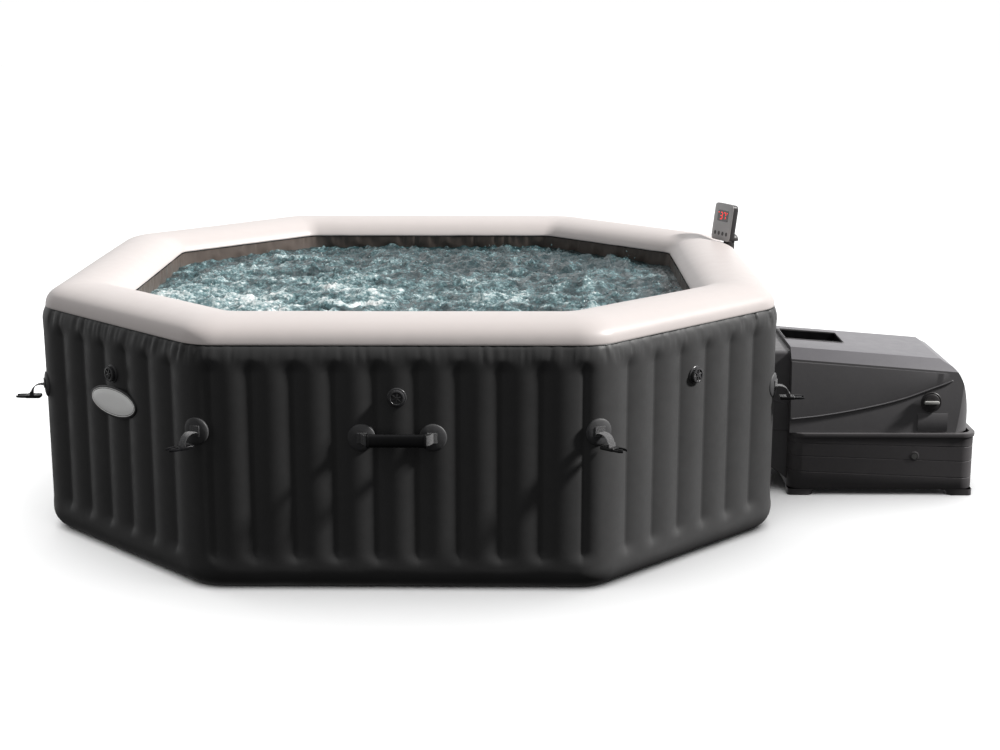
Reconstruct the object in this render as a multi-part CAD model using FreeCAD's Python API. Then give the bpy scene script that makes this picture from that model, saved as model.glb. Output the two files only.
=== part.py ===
"""Octagonal inflatable hot tub with its pump, filter and heater base unit.

Millimetres, +Z up. The origin is at the tub's centre on the ground, the base
unit stands at +X, and the front of the tub faces -Y.
"""
import FreeCAD, Part
import math
import os

V = FreeCAD.Vector
UP = V(0, 0, 1)

# --- tub: driving dimensions ---------------------------------------------------
MAIN_APOTHEM = 1090.0       # centre to the four faces square to X and Y
DIAG_APOTHEM = 1153.0       # centre to the four diagonal faces
RIM_WIDTH = 240.0           # outer face to bath face
CORNER_OUT = 140.0          # plan radius of the outer corners
CORNER_IN = 60.0            # plan radius of the bath corners
SEAM_Z = 670.0              # seam between the dark wall and the pale rim
FOOT_ROUND = 60.0           # roll of the wall into the ground sheet
SKIN = 2.0                  # coated fabric of the air chambers
FLOOR_TOP = 5.0             # top of the padded floor
RIM_CROWN = [(0, SEAM_Z), (10, 690), (35, 708), (75, 718), (120, 721),
             (165, 718), (205, 710), (232, 698), (RIM_WIDTH, 688)]

RIB_PITCH = 110.0
BEAM_BOTTOM = 140.0
BEAM_TOP = 640.0
BEAM_SKIN = 0.5

# --- fittings on the tub ---------------------------------------------------------
VALVE_Z = 540.0
PATCH_R = 37.0
PATCH_T = 3.0
ROOT_OUT = 6.4              # flex line of the handle's strap, in front of the wall
CLIP_ROOT_OUT = 10.0        # flex line of a clip's strap, in front of the corner
HANDLE_Z = 431.0
HANDLE_HALF = 95.0          # centre of the handle to each patch
CLIP_Z = 445.0
BADGE_Z = 459.0
DRAIN_Z = 120.0
JET_Z = 330.0
JET_X = 220.0
JET_BALL_R = 22.0
FIT = 0.05                  # radial clearance of turning fits
GAP = 0.3                   # clearance between parts that move past each other

# name: (corner number, heading of the strap and buckle in degrees)
CLIPS = {
    "right_front": (0, 0), "right_back": (1, 0),
    "back_right": (2, 42), "back_left": (3, 138),
    "left_back": (4, 180), "left_front": (5, 180),
    "front_left": (6, -138), "front_right": (7, -42),
}
VALVES = {"left": -135, "front": -90, "right": -45}
JETS = {"front_left": (-JET_X, -90), "front_right": (JET_X, -90),
        "back_left": (-JET_X, 90), "back_right": (JET_X, 90)}

# --- base unit -------------------------------------------------------------------
BASE_X0 = 1190.0
BASE_X1 = 1785.0
BASE_Y = 30.0
BASE_WIDTH = 450.0
TRAY_TOP = 200.0
TRAY_WALL = 4.0
LEDGE_Z = 206.0
FOOT_H = 20.0
COVER_WALL = 3.0
COVER_FALL = 48.0           # fall of the cover's top over its length
COVER_LENGTH = 600.0
HOOD_Y = (-150.0, 210.0)
HOOD_TOP = 465.0
WATER_Z = 210.0
WATER_Y = (-110.0, 110.0)
AIR_Y = 0.0
AIR_Z = 300.0
COUPLING_END = 1214.0
RECESS_X = (1196.0, 1384.0)
RECESS_Y = (-9.0, 149.0)
FILTER = (1290.0, 90.0)
FILTER_R = 70.0
KNOB = (1637.0, 306.0)
KNOB_R = 33.0
KNOB_BACK_Y = -181.5
SCREW = (1590.0, 131.0)
GLAND = (1600.0, 110.0)
GLAND_BORE_R = 4.6

# --- control panel -----------------------------------------------------------------
PANEL_CENTRE = V(1035, 450, 795)
PANEL_YAW = -65.0
PANEL_TILT = -8.0
PANEL_W = 116.0
PANEL_H = 128.0
PANEL_T = 24.0
PIN_Y = 30.0                # tilt pin, in the panel's own axes
PIN_Z = -45.0
SWIVEL = (1062.0, 463.0)
SWIVEL_Z = 727.0
BUTTON_X = (-36.0, -12.0, 12.0, 36.0)
BUTTON_Z = -40.0
BUTTON_R = 7.0

nodes = {}


# --- helpers -----------------------------------------------------------------------
def box(x0, x1, y0, y1, z0, z1):
    """Box between two corners."""
    return Part.makeBox(x1 - x0, y1 - y0, z1 - z0, V(x0, y0, z0))


def rod(radius, start, end):
    """Cylinder from one point to another."""
    start, end = V(*start), V(*end)
    return Part.makeCylinder(radius, (end - start).Length, start, end - start)


def tube(radius, wall, start, end):
    """Open pipe from one point to another."""
    return rod(radius, start, end).cut(rod(radius - wall, start, end))


def prism(points, direction):
    """Extruded polygon."""
    corners = [V(*point) for point in points]
    return Part.Face(Part.makePolygon(corners + corners[:1])).extrude(V(*direction))


def rounded_plate(x0, x1, y0, y1, z0, z1, radius):
    """Box with rounded vertical edges."""
    plate = box(x0, x1, y0, y1, z0, z1)
    upright = [edge for edge in plate.Edges
               if abs(edge.Vertexes[0].Z - edge.Vertexes[-1].Z) > (z1 - z0) / 2]
    return plate.makeFillet(radius, upright)


def octagon_corners(inset):
    """The eight plan corners, anticlockwise from the right face's front corner."""
    a = MAIN_APOTHEM - inset
    h = (DIAG_APOTHEM - inset) * math.sqrt(2) - a
    return [(a, -h), (a, h), (h, a), (-h, a), (-a, h), (-a, -h), (-h, -a), (h, -a)]


def corner_radius(inset):
    """Plan radius, from the outer corners to the bath corners."""
    return CORNER_OUT + (CORNER_IN - CORNER_OUT) * inset / RIM_WIDTH


def octagon(inset, z):
    """Octagonal wire with rounded corners."""
    corners = [V(x, y, z) for x, y in octagon_corners(inset)]
    radius = corner_radius(inset)
    half_turn = math.radians(22.5)
    arcs = []
    for i, corner in enumerate(corners):
        back = (corners[i - 1] - corner).normalize()
        onward = (corners[(i + 1) % 8] - corner).normalize()
        inward = (back + onward).normalize()
        trim = radius * math.tan(half_turn)
        middle = corner + inward * (radius / math.cos(half_turn) - radius)
        arcs.append(Part.Arc(corner + back * trim, middle, corner + onward * trim))
    edges = []
    for i, arc in enumerate(arcs):
        edges += [Part.LineSegment(arcs[i - 1].EndPoint, arc.StartPoint).toShape(), arc.toShape()]
    return Part.Wire(edges)


def slab(inset, z0, z1):
    """Solid octagon."""
    return Part.Face(octagon(inset, z0)).extrude(V(0, 0, z1 - z0))


def ring(inset_out, inset_in, z0, z1):
    """Octagonal ring."""
    return slab(inset_out, z0, z1).cut(slab(inset_in, z0, z1))


def at_wall(shape, heading, apothem, z, along=0.0):
    """Put a fitting, built along +X from the wall's face, on a wall that faces heading."""
    shape = shape.copy()
    shape.translate(V(apothem, along, z))
    shape.rotate(V(), UP, heading)
    return shape


def wall_apothem(heading):
    """Outer apothem of the wall that faces heading."""
    return DIAG_APOTHEM if heading % 90 else MAIN_APOTHEM


def add(name, *solids):
    """Keep one node, as one solid or a group of separate solids."""
    nodes[name] = solids[0] if len(solids) == 1 else Part.makeCompound(list(solids))


# --- tub shell ----------------------------------------------------------------------
def wall_form(inset):
    """Everything inside the outer wall, with its rolled foot."""
    form = slab(inset, inset, SEAM_Z)
    foot = [edge for edge in form.Edges if edge.BoundBox.ZMax < inset + 1]
    return form.makeFillet(FOOT_ROUND - inset, foot)


def rim_form(depth):
    """Crowned rim, shrunk on every side by depth."""
    profile = [(depth, SEAM_Z)]
    profile += [(inset, z - depth) for inset, z in RIM_CROWN[1:-1]]
    profile += [(RIM_WIDTH - depth, RIM_CROWN[-1][1] - depth)]
    dome = Part.makeLoft([octagon(inset, z) for inset, z in profile], True, True)
    return dome.cut(slab(RIM_WIDTH - depth, SEAM_Z - 20, SEAM_Z + 120))


def wall_holes():
    """Holes through the walls for the couplings, jets, valves and drain."""
    bath_x = MAIN_APOTHEM - RIM_WIDTH
    holes = [rod(28, (bath_x - 10, y, WATER_Z), (1200, y, WATER_Z)) for y in WATER_Y]
    holes.append(rod(20, (bath_x - 10, AIR_Y, AIR_Z), (1200, AIR_Y, AIR_Z)))
    jet = rod(30, (-40, 0, 0), (60, 0, 0))
    for x, heading in JETS.values():
        along = x if heading < 0 else -x
        holes.append(at_wall(jet, heading, bath_x, JET_Z, along))
    for heading in VALVES.values():
        holes.append(at_wall(rod(14, (-40, 0, 0), (20, 0, 0)), heading, wall_apothem(heading), VALVE_Z))
    holes.append(at_wall(rod(20, (-60, 0, 0), (20, 0, 0)), 90, MAIN_APOTHEM, DRAIN_Z))
    return Part.makeCompound(holes)


def make_shell():
    holes = wall_holes()
    skin = wall_form(0).cut(wall_form(SKIN))
    below = box(-1200, 1200, -1200, 1200, -1, FOOT_ROUND)
    add("ground_sheet", skin.common(below))
    add("outer_wall", skin.cut(below).cut(holes))
    add("top_rim", rim_form(0).cut(rim_form(SKIN)))
    inner = ring(RIM_WIDTH - SKIN, RIM_WIDTH, FLOOR_TOP, SEAM_Z)
    add("inner_wall", inner.cut(holes))
    add("floor_liner", slab(RIM_WIDTH - SKIN, SKIN, FLOOR_TOP))
    channel = ring(RIM_WIDTH + 1, RIM_WIDTH + 60, FLOOR_TOP, 40)
    add("bubble_channel", channel.cut(ring(RIM_WIDTH + 3.5, RIM_WIDTH + 57.5, FLOOR_TOP, 37.5)))


def make_beams():
    """Upright webs that hold the two walls together and draw in the ribs."""
    web = box(-RIM_WIDTH + SKIN, -SKIN, -BEAM_SKIN / 2, BEAM_SKIN / 2, BEAM_BOTTOM, BEAM_TOP)
    air_space = slab(SKIN, BEAM_BOTTOM, BEAM_TOP)
    webs = []
    for heading in range(0, 360, 45):
        pairs = 5 if heading % 90 == 0 else 3
        for k in range(-pairs, pairs):
            upright = at_wall(web, heading, wall_apothem(heading), 0, (k + 0.5) * RIB_PITCH)
            webs.append(upright.common(air_space))
    add("tension_beams", *webs)


# --- fittings -----------------------------------------------------------------------
def make_valves():
    seat = rod(26, (0, 0, 0), (3, 0, 0)).fuse(rod(14, (-25, 0, 0), (0, 0, 0)))
    seat = seat.cut(rod(8 + FIT, (-25, 0, 0), (3, 0, 0)))
    cap = rod(21.5, (3 + GAP, 0, 0), (12, 0, 0)).fuse(rod(8, (-14, 0, 0), (3 + GAP, 0, 0)))
    for k in range(16):
        angle = k * math.tau / 16
        y, z = 22.5 * math.cos(angle), 22.5 * math.sin(angle)
        cap = cap.cut(rod(2.4, (3, y, z), (13, y, z)))
    cap = cap.cut(rod(15, (10, 0, 0), (12, 0, 0))).fuse(box(10, 12, -13, 13, -3, 3))
    seats = []
    for name, heading in VALVES.items():
        seats.append(at_wall(seat, heading, wall_apothem(heading), VALVE_Z))
        add("valve_cap_" + name, at_wall(cap, heading, wall_apothem(heading), VALVE_Z))
    add("valve_seats", *seats)


def corner_frame(corner):
    """Distance from the centre to the rounded corner, and the way it faces."""
    x, y = octagon_corners(0)[corner]
    turned = CORNER_OUT / math.cos(math.radians(22.5)) - CORNER_OUT
    middle = math.degrees(math.atan2(y, x))
    facing = round((middle - 22.5) / 45.0) * 45.0 + 22.5
    out = math.radians(facing)
    return x - turned * math.cos(out), y - turned * math.sin(out), facing


def corner_patch(corner):
    """Round patch that wraps the rounded corner."""
    x, y, facing = corner_frame(corner)
    disc = rod(PATCH_R, (-30, 0, 0), (PATCH_T, 0, 0))
    disc.rotate(V(), UP, facing)
    disc.translate(V(x, y, CLIP_Z))
    skin = slab(-PATCH_T, CLIP_Z - 50, CLIP_Z + 50).cut(slab(0, CLIP_Z - 50, CLIP_Z + 50))
    return disc.common(skin)


def clip_solids():
    """Webbing that arches out and down, and the flat buckle on its end."""
    root = rod(3, (0, -4, 0), (0, 4, 0)).fuse(box(0, 10, -4, 4, -1.25, 1.25))
    bend = rod(27.25, (8, -14, -26), (8, 14, -26)).cut(rod(24.75, (8, -14, -26), (8, 14, -26)))
    bend = bend.common(box(8, 40, -14, 14, -26, 10))
    tail = box(32.75, 35.25, -14, 14, -31, -26)
    strap = root.fuse([bend, tail]).removeSplitter()
    buckle = rounded_plate(8, 82, -17, 17, -41, -31, 6)
    buckle = buckle.fuse([box(x, x + 3, -14, 14, -43, -41) for x in (14, 22, 66)])
    return strap, buckle.removeSplitter()


def make_clips():
    patches = [corner_patch(corner) for corner, _ in CLIPS.values()]
    disc = rod(PATCH_R, (0, 0, 0), (PATCH_T, 0, 0))
    patches += [at_wall(disc, -90, MAIN_APOTHEM, HANDLE_Z, side * HANDLE_HALF) for side in (-1, 1)]
    add("strap_patches", *patches)
    for name, (corner, heading) in CLIPS.items():
        x, y, facing = corner_frame(corner)
        out = math.radians(facing)
        solids = [solid.copy() for solid in clip_solids()]
        for solid in solids:
            solid.rotate(V(), UP, heading)
            solid.translate(V(x + CLIP_ROOT_OUT * math.cos(out), y + CLIP_ROOT_OUT * math.sin(out), CLIP_Z))
        add("cover_clip_" + name, *solids)


def make_handle():
    band = box(33, 35.5, -84, 84, -14, 14)
    strap = band
    for side in (-1, 1):
        root = rod(3, (ROOT_OUT, side * 91 - 4, 0), (ROOT_OUT, side * 91 + 4, 0))
        arm = prism([(ROOT_OUT, side * 93, -3), (ROOT_OUT, side * 89, -3),
                     (35.5, side * 80, -3), (35.5, side * 84, -3)], (0, 0, 6))
        strap = strap.fuse([root, arm])
    grip = box(26, 43, -79, 79, -20, 20)
    long_edges = [edge for edge in grip.Edges if edge.Length > 150]
    grip = grip.makeFillet(7, long_edges).cut(band)
    add("handle_strap", at_wall(strap.removeSplitter(), -90, MAIN_APOTHEM, HANDLE_Z))
    add("handle_grip", at_wall(grip, -90, MAIN_APOTHEM, HANDLE_Z))


def make_badge():
    oval = Part.Ellipse(V(0, 0, 0), 118, 45).toShape()
    plate = Part.Face(Part.Wire([oval])).extrude(V(0, 0, 2.5))
    plate.rotate(V(), V(1, 0, 0), 90)
    plate.rotate(V(), UP, 90)
    add("oval_badge", at_wall(plate, -135, DIAG_APOTHEM, BADGE_Z))


def make_drain():
    body = rod(38, (0, 0, 0), (5, 0, 0)).fuse(rod(28, (5, 0, 0), (22, 0, 0)))
    body = body.fuse(rod(20, (-40, 0, 0), (0, 0, 0))).cut(rod(16, (-40, 0, 0), (22, 0, 0)))
    cap = rod(27, (22 + GAP, 0, 0), (34, 0, 0)).fuse(rod(16 - FIT, (4, 0, 0), (22 + GAP, 0, 0)))
    cap = cap.fuse(box(34, 42, -22, 22, -3, 3))
    add("drain_body", at_wall(body, 90, MAIN_APOTHEM, DRAIN_Z))
    add("drain_cap", at_wall(cap.removeSplitter(), 90, MAIN_APOTHEM, DRAIN_Z))


def make_jets():
    """Ball nozzles in cups set into the bath wall, with local +X towards the water."""
    ball_x = -16
    cup = rod(42, (0, 0, 0), (5, 0, 0)).fuse(rod(30, (-46, 0, 0), (0, 0, 0)))
    cup = cup.cut(Part.makeSphere(JET_BALL_R + GAP, V(ball_x, 0, 0)))
    cup = cup.cut(rod(19, (ball_x, 0, 0), (5, 0, 0))).cut(rod(9, (-46, 0, 0), (-30, 0, 0)))
    nozzle = Part.makeSphere(JET_BALL_R, V(ball_x, 0, 0)).fuse(rod(9, (ball_x, 0, 0), (12, 0, 0)))
    nozzle = nozzle.cut(rod(6, (-40, 0, 0), (12, 0, 0)))
    cups = []
    for name, (x, heading) in JETS.items():
        # the bath face looks back at the centre, so the fitting is turned round
        cups.append(bath_fitting(cup, x, heading))
        add("jet_nozzle_" + name, bath_fitting(nozzle, x, heading))
    add("jet_housings", *cups)


def bath_fitting(shape, x, heading):
    """Put a fitting, built along +X, on the bath side of the front or back wall."""
    shape = shape.copy()
    shape.rotate(V(), UP, heading + 180)
    side = -1 if heading < 0 else 1
    shape.translate(V(x, side * (MAIN_APOTHEM - RIM_WIDTH), JET_Z))
    return shape


def make_couplings():
    """Two water pipes and an air pipe through the wall, and the grids on the bath side."""
    bath_x = MAIN_APOTHEM - RIM_WIDTH
    pipes, grids = [], []
    for y in WATER_Y:
        pipes.append(tube(28, 3, (bath_x, y, WATER_Z), (COUPLING_END, y, WATER_Z)))
        grid = rod(52, (bath_x - 14, y, WATER_Z), (bath_x, y, WATER_Z))
        for row in range(-3, 4):
            half = math.sqrt(44 ** 2 - (row * 12) ** 2)
            z = WATER_Z + row * 12
            grid = grid.cut(box(bath_x - 15, bath_x + 1, y - half, y + half, z - 1.8, z + 1.8))
        grids.append(grid)
    pipes.append(tube(20, 3, (bath_x - 6, AIR_Y, AIR_Z), (COUPLING_END, AIR_Y, AIR_Z)))
    add("hose_couplings", *pipes)
    add("suction_strainers", *grids)


# --- base unit ----------------------------------------------------------------------
def base_plan(inset, z0, z1, radius, x0=BASE_X0):
    """Rounded block with the base unit's plan."""
    half = BASE_WIDTH / 2 - inset
    return rounded_plate(x0, BASE_X1 - inset, BASE_Y - half, BASE_Y + half, z0, z1, radius)


def make_tray():
    tray = base_plan(0, 0, TRAY_TOP - 8, 45)
    half = BASE_WIDTH / 2
    tray = tray.cut(box(BASE_X0 + 65, BASE_X1 - 70, -500, 500, -1, FOOT_H))
    tray = tray.cut(box(BASE_X0 - 9, BASE_X1 + 9, BASE_Y - half + 60, BASE_Y + half - 60, -1, FOOT_H))
    inside = base_plan(TRAY_WALL, FOOT_H + TRAY_WALL, TRAY_TOP, 41, BASE_X0 + TRAY_WALL)
    ledge = base_plan(-4, TRAY_TOP - 8, LEDGE_Z, 49, BASE_X0)
    ledge = ledge.cut(base_plan(14, TRAY_TOP - 9, LEDGE_Z + 1, 31, BASE_X0 + TRAY_WALL))
    tray = tray.cut(inside).fuse(ledge).removeSplitter()
    hood_mouth = box(BASE_X0 - 9, BASE_X0 + 9, HOOD_Y[0] + 3, HOOD_Y[1] - 3, WATER_Z - 40, 260)
    holes = [rod(10, (GLAND[0], 200, GLAND[1]), (GLAND[0], 300, GLAND[1]))]
    holes += [rod(5, (x, y - 20, SCREW[1]), (x, y + 20, SCREW[1])) for x, y in screw_places()]
    add("base_tray", tray.cut(hood_mouth).cut(Part.makeCompound(holes)))


def screw_places():
    """Screws along the tray's two long sides."""
    front, back = BASE_Y - BASE_WIDTH / 2, BASE_Y + BASE_WIDTH / 2
    return [(SCREW[0], front), (SCREW[0] - 240, back), (SCREW[0] + 80, back)]


def cover_form(inset):
    """Tapered cover whose top falls away from the tub."""
    left, right = BASE_Y - 218 + inset, BASE_Y + 218 - inset
    low = LEDGE_Z
    section = [(left, low), (left + 18, 443), (left + 48, 477 - inset),
               (right - 48, 477 - inset), (right - 18, 443), (right, low)]
    start = BASE_X0 + inset
    roof = prism([(start, y, z) for y, z in section], (COVER_LENGTH, 0, -COVER_FALL))
    side = [(start, low), (1768 - inset, low), (1758 - inset, 270), (1738 - inset, 345),
            (1716 - inset, 405), (1690 - inset, 440), (1650 - inset, 475), (start, 520)]
    nose = prism([(x, left, z) for x, z in side], (0, right - left, 0))
    plan = rounded_plate(start, 1768 - inset, left, right, low, 520, 70)
    plan = plan.fuse(box(start, start + 80, left, right, low, 520))
    return roof.common(nose).common(plan)


def make_cover():
    cover = cover_form(0).cut(cover_form(COVER_WALL))
    pad = cover_form(-2).cut(cover_form(0)).common(box(1597, 1693, -300, 0, LEDGE_Z + 4, 268))
    mouth = box(BASE_X0 - 9, BASE_X0 + 9, HOOD_Y[0] + 3, HOOD_Y[1] - 3, 200, HOOD_TOP - 18)
    recess = box(*RECESS_X, *RECESS_Y, 400, 500)
    knob_hole = rod(8 + FIT, (KNOB[0], -300, KNOB[1]), (KNOB[0], 0, KNOB[1]))
    add("base_cover", cover.fuse(pad).cut(mouth).cut(recess).cut(knob_hole))

    frame = box(RECESS_X[0] - 4, RECESS_X[1] + 4, RECESS_Y[0] - 4, RECESS_Y[1] + 4, 436, 520)
    frame = frame.common(cover_form(COVER_WALL)).cut(box(*RECESS_X, *RECESS_Y, 440, 520))
    slots = []
    for column in range(11):
        for row in range(9):
            x, y = RECESS_X[0] + 10 + column * 16, RECESS_Y[0] + 9 + row * 16
            slots.append(box(x, x + 12, y, y + 12, 430, 450))
    add("recess_grille", frame.cut(Part.makeCompound(slots)))


def make_hood():
    """Duct between the tub's wall and the base unit."""
    x0, x1 = MAIN_APOTHEM + 0.5, BASE_X0 - 0.5
    profile = [(x0, 120), (x1, 45), (x1, HOOD_TOP), (x0, HOOD_TOP)]
    inner = [(x0 - 1, 124), (x1 + 1, 49), (x1 + 1, HOOD_TOP - 3), (x0 - 1, HOOD_TOP - 3)]
    hood = prism([(x, HOOD_Y[0], z) for x, z in profile], (0, HOOD_Y[1] - HOOD_Y[0], 0))
    hollow = prism([(x, HOOD_Y[0] + 3, z) for x, z in inner], (0, HOOD_Y[1] - HOOD_Y[0] - 6, 0))
    add("connection_hood", hood.cut(hollow))


def make_filter():
    x, y = FILTER
    housing = rod(FILTER_R, (x, y, 30), (x, y, 400)).cut(rod(FILTER_R - 5, (x, y, 35), (x, y, 400)))
    ports = [rod(16, (x - 90, WATER_Y[1], WATER_Z), (x, WATER_Y[1], WATER_Z)),
             rod(16, (x, 90, 130), (x + 90, 90, 130))]
    add("filter_housing", housing.cut(Part.makeCompound(ports)))
    core = rod(52, (x, y, 60), (x, y, 370)).cut(rod(20, (x, y, 60), (x, y, 370)))
    add("filter_cartridge", core.fuse(rod(52, (x, y, 35), (x, y, 60)).cut(rod(20, (x, y, 35), (x, y, 60)))))
    cap = rod(FILTER_R + 4, (x, y, 400 + GAP), (x, y, 414))
    cap = cap.fuse(rod(FILTER_R - 5 - FIT, (x, y, 385), (x, y, 400 + GAP)))
    add("filter_cap", cap.fuse(box(x - 60, x + 60, y - 6, y + 6, 414, 428)).removeSplitter())


def pump(x, y, z, volute_r, depth, motor_r, motor_length, shaft_r):
    """Volute, motor and the turning impeller on its shaft, along X."""
    end = x + depth
    housing = rod(volute_r, (x, y, z), (end, y, z))
    housing = housing.cut(rod(volute_r - 6, (x + 5, y, z), (end - 5, y, z)))
    housing = housing.cut(rod(shaft_r + FIT, (end - 6, y, z), (end, y, z)))
    motor = rod(motor_r, (end, y, z), (end + motor_length, y, z))
    motor = motor.cut(rod(shaft_r + FIT, (end, y, z), (end + 40.5, y, z)))
    wheel_r = volute_r - 12
    wheel = rod(shaft_r + 8, (x + 7, y, z), (end - 7, y, z))
    wheel = wheel.fuse(rod(wheel_r, (end - 10, y, z), (end - 7, y, z)))
    for k in range(6):
        blade = box(x + 8, end - 8, y + shaft_r, y + wheel_r, z - 1.5, z + 1.5)
        blade.rotate(V(x, y, z), V(1, 0, 0), 60 * k)
        wheel = wheel.fuse(blade)
    wheel = wheel.fuse(rod(shaft_r, (end - 10, y, z), (end + 40, y, z)))
    return housing, motor, wheel.removeSplitter()


def make_pumps():
    volute, motor, wheel = pump(1400, -110, 110, 50, 40, 42, 120, 5)
    volute = volute.cut(rod(14, (1420, -110, 120), (1420, -110, 170)))
    add("circulation_pump", volute, motor)
    add("circulation_impeller", wheel)
    volute, motor, wheel = pump(1480, 110, 130, 75, 50, 60, 180, 6)
    volute = volute.cut(rod(14, (1470, 90, 130), (1486, 90, 130)))
    add("jet_pump", volute, motor)
    add("jet_impeller", wheel)
    scroll, motor, wheel = pump(1440, -50, AIR_Z, 78, 60, 42, 80, 4)
    scroll = scroll.cut(rod(14, (1430, AIR_Y, AIR_Z), (1446, AIR_Y, AIR_Z)))
    add("air_blower", scroll, motor)
    add("blower_fan", wheel)


def make_base_internals():
    heater = tube(28, 3, (1420, 165, 290), (1680, 165, 290))
    for x in (1420, 1676):
        heater = heater.fuse(rod(28, (x, 165, 290), (x + 4, 165, 290)))
    heater = heater.fuse(rod(6, (1420, 165, 290), (1680, 165, 290)))
    add("water_heater", heater.fuse(box(1440, 1460, 150, 180, 262, 268)).removeSplitter())
    case = rounded_plate(1612, 1706, -20, 100, 225, 330, 6)
    add("control_box", case)
    water = tube(16, 2.5, (COUPLING_END, WATER_Y[0], WATER_Z), (1436, WATER_Y[0], WATER_Z))
    down = rod(16, (1420, WATER_Y[0], 158), (1420, WATER_Y[0], WATER_Z))
    down = down.cut(rod(13.5, (1420, WATER_Y[0], 158), (1420, WATER_Y[0], WATER_Z)))
    seat = rod(50, (1400, -110, 110), (1440, -110, 110))
    elbow = water.fuse(down.cut(rod(16, (COUPLING_END, WATER_Y[0], WATER_Z), (1436, WATER_Y[0], WATER_Z))))
    inlet = tube(16, 2.5, (COUPLING_END, WATER_Y[1], WATER_Z), (1240, WATER_Y[1], WATER_Z))
    inlet = inlet.cut(rod(FILTER_R, (*FILTER, 30), (*FILTER, 400)))
    feed = tube(16, 2.5, (1350, 90, 130), (1480, 90, 130)).cut(rod(FILTER_R, (*FILTER, 30), (*FILTER, 400)))
    air = tube(16, 2.5, (COUPLING_END, AIR_Y, AIR_Z), (1440, AIR_Y, AIR_Z))
    add("pipework", elbow.cut(seat), inlet, feed, air)


def make_base_fittings():
    knob = rod(KNOB_R, (KNOB[0], KNOB_BACK_Y, KNOB[1]), (KNOB[0], KNOB_BACK_Y - 5, KNOB[1]))
    knob = knob.fuse(rod(26, (KNOB[0], KNOB_BACK_Y - 5, KNOB[1]), (KNOB[0], KNOB_BACK_Y - 8, KNOB[1])))
    knob = knob.fuse(rod(8, (KNOB[0], KNOB_BACK_Y, KNOB[1]), (KNOB[0], -150, KNOB[1])))
    bar = box(KNOB[0] - 24, KNOB[0] + 24, KNOB_BACK_Y - 16, KNOB_BACK_Y - 8, KNOB[1] - 5, KNOB[1] + 5)
    add("service_knob", knob.fuse(bar).removeSplitter())

    screws = []
    for x, y in screw_places():
        side = -1 if y < BASE_Y else 1
        head = rod(9, (x, y, SCREW[1]), (x, y + side * 3, SCREW[1]))
        head = head.fuse(rod(5, (x, y - side * 14, SCREW[1]), (x, y, SCREW[1])))
        screws.append(head.cut(rod(3, (x, y + side, SCREW[1]), (x, y + side * 3, SCREW[1]))))
    add("cover_screws", *screws)

    x, z = GLAND
    back = BASE_Y + BASE_WIDTH / 2
    gland = rod(16, (x, back, z), (x, back + 4, z)).fuse(rod(10, (x, back - 16, z), (x, back + 14, z)))
    add("cord_gland", gland.cut(rod(GLAND_BORE_R, (x, back - 16, z), (x, back + 14, z))))


# --- control panel ---------------------------------------------------------------------
def on_panel(shape):
    """Move a shape from the panel's own axes, face at y = 0, to its place on the rim."""
    shape = shape.copy()
    shape.rotate(V(), V(1, 0, 0), PANEL_TILT)
    shape.rotate(V(), UP, PANEL_YAW)
    shape.translate(PANEL_CENTRE)
    return shape


def panel_block(y0, y1, inset, radius):
    """Block with the panel's outline, upright edges rounded across its face."""
    half_w, half_h = PANEL_W / 2 - inset, PANEL_H / 2 - inset
    block = box(-half_w, half_w, y0, y1, -half_h, half_h)
    across = [edge for edge in block.Edges
              if abs(edge.Vertexes[0].Y - edge.Vertexes[-1].Y) > (y1 - y0) / 2]
    return block.makeFillet(radius, across)


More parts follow.
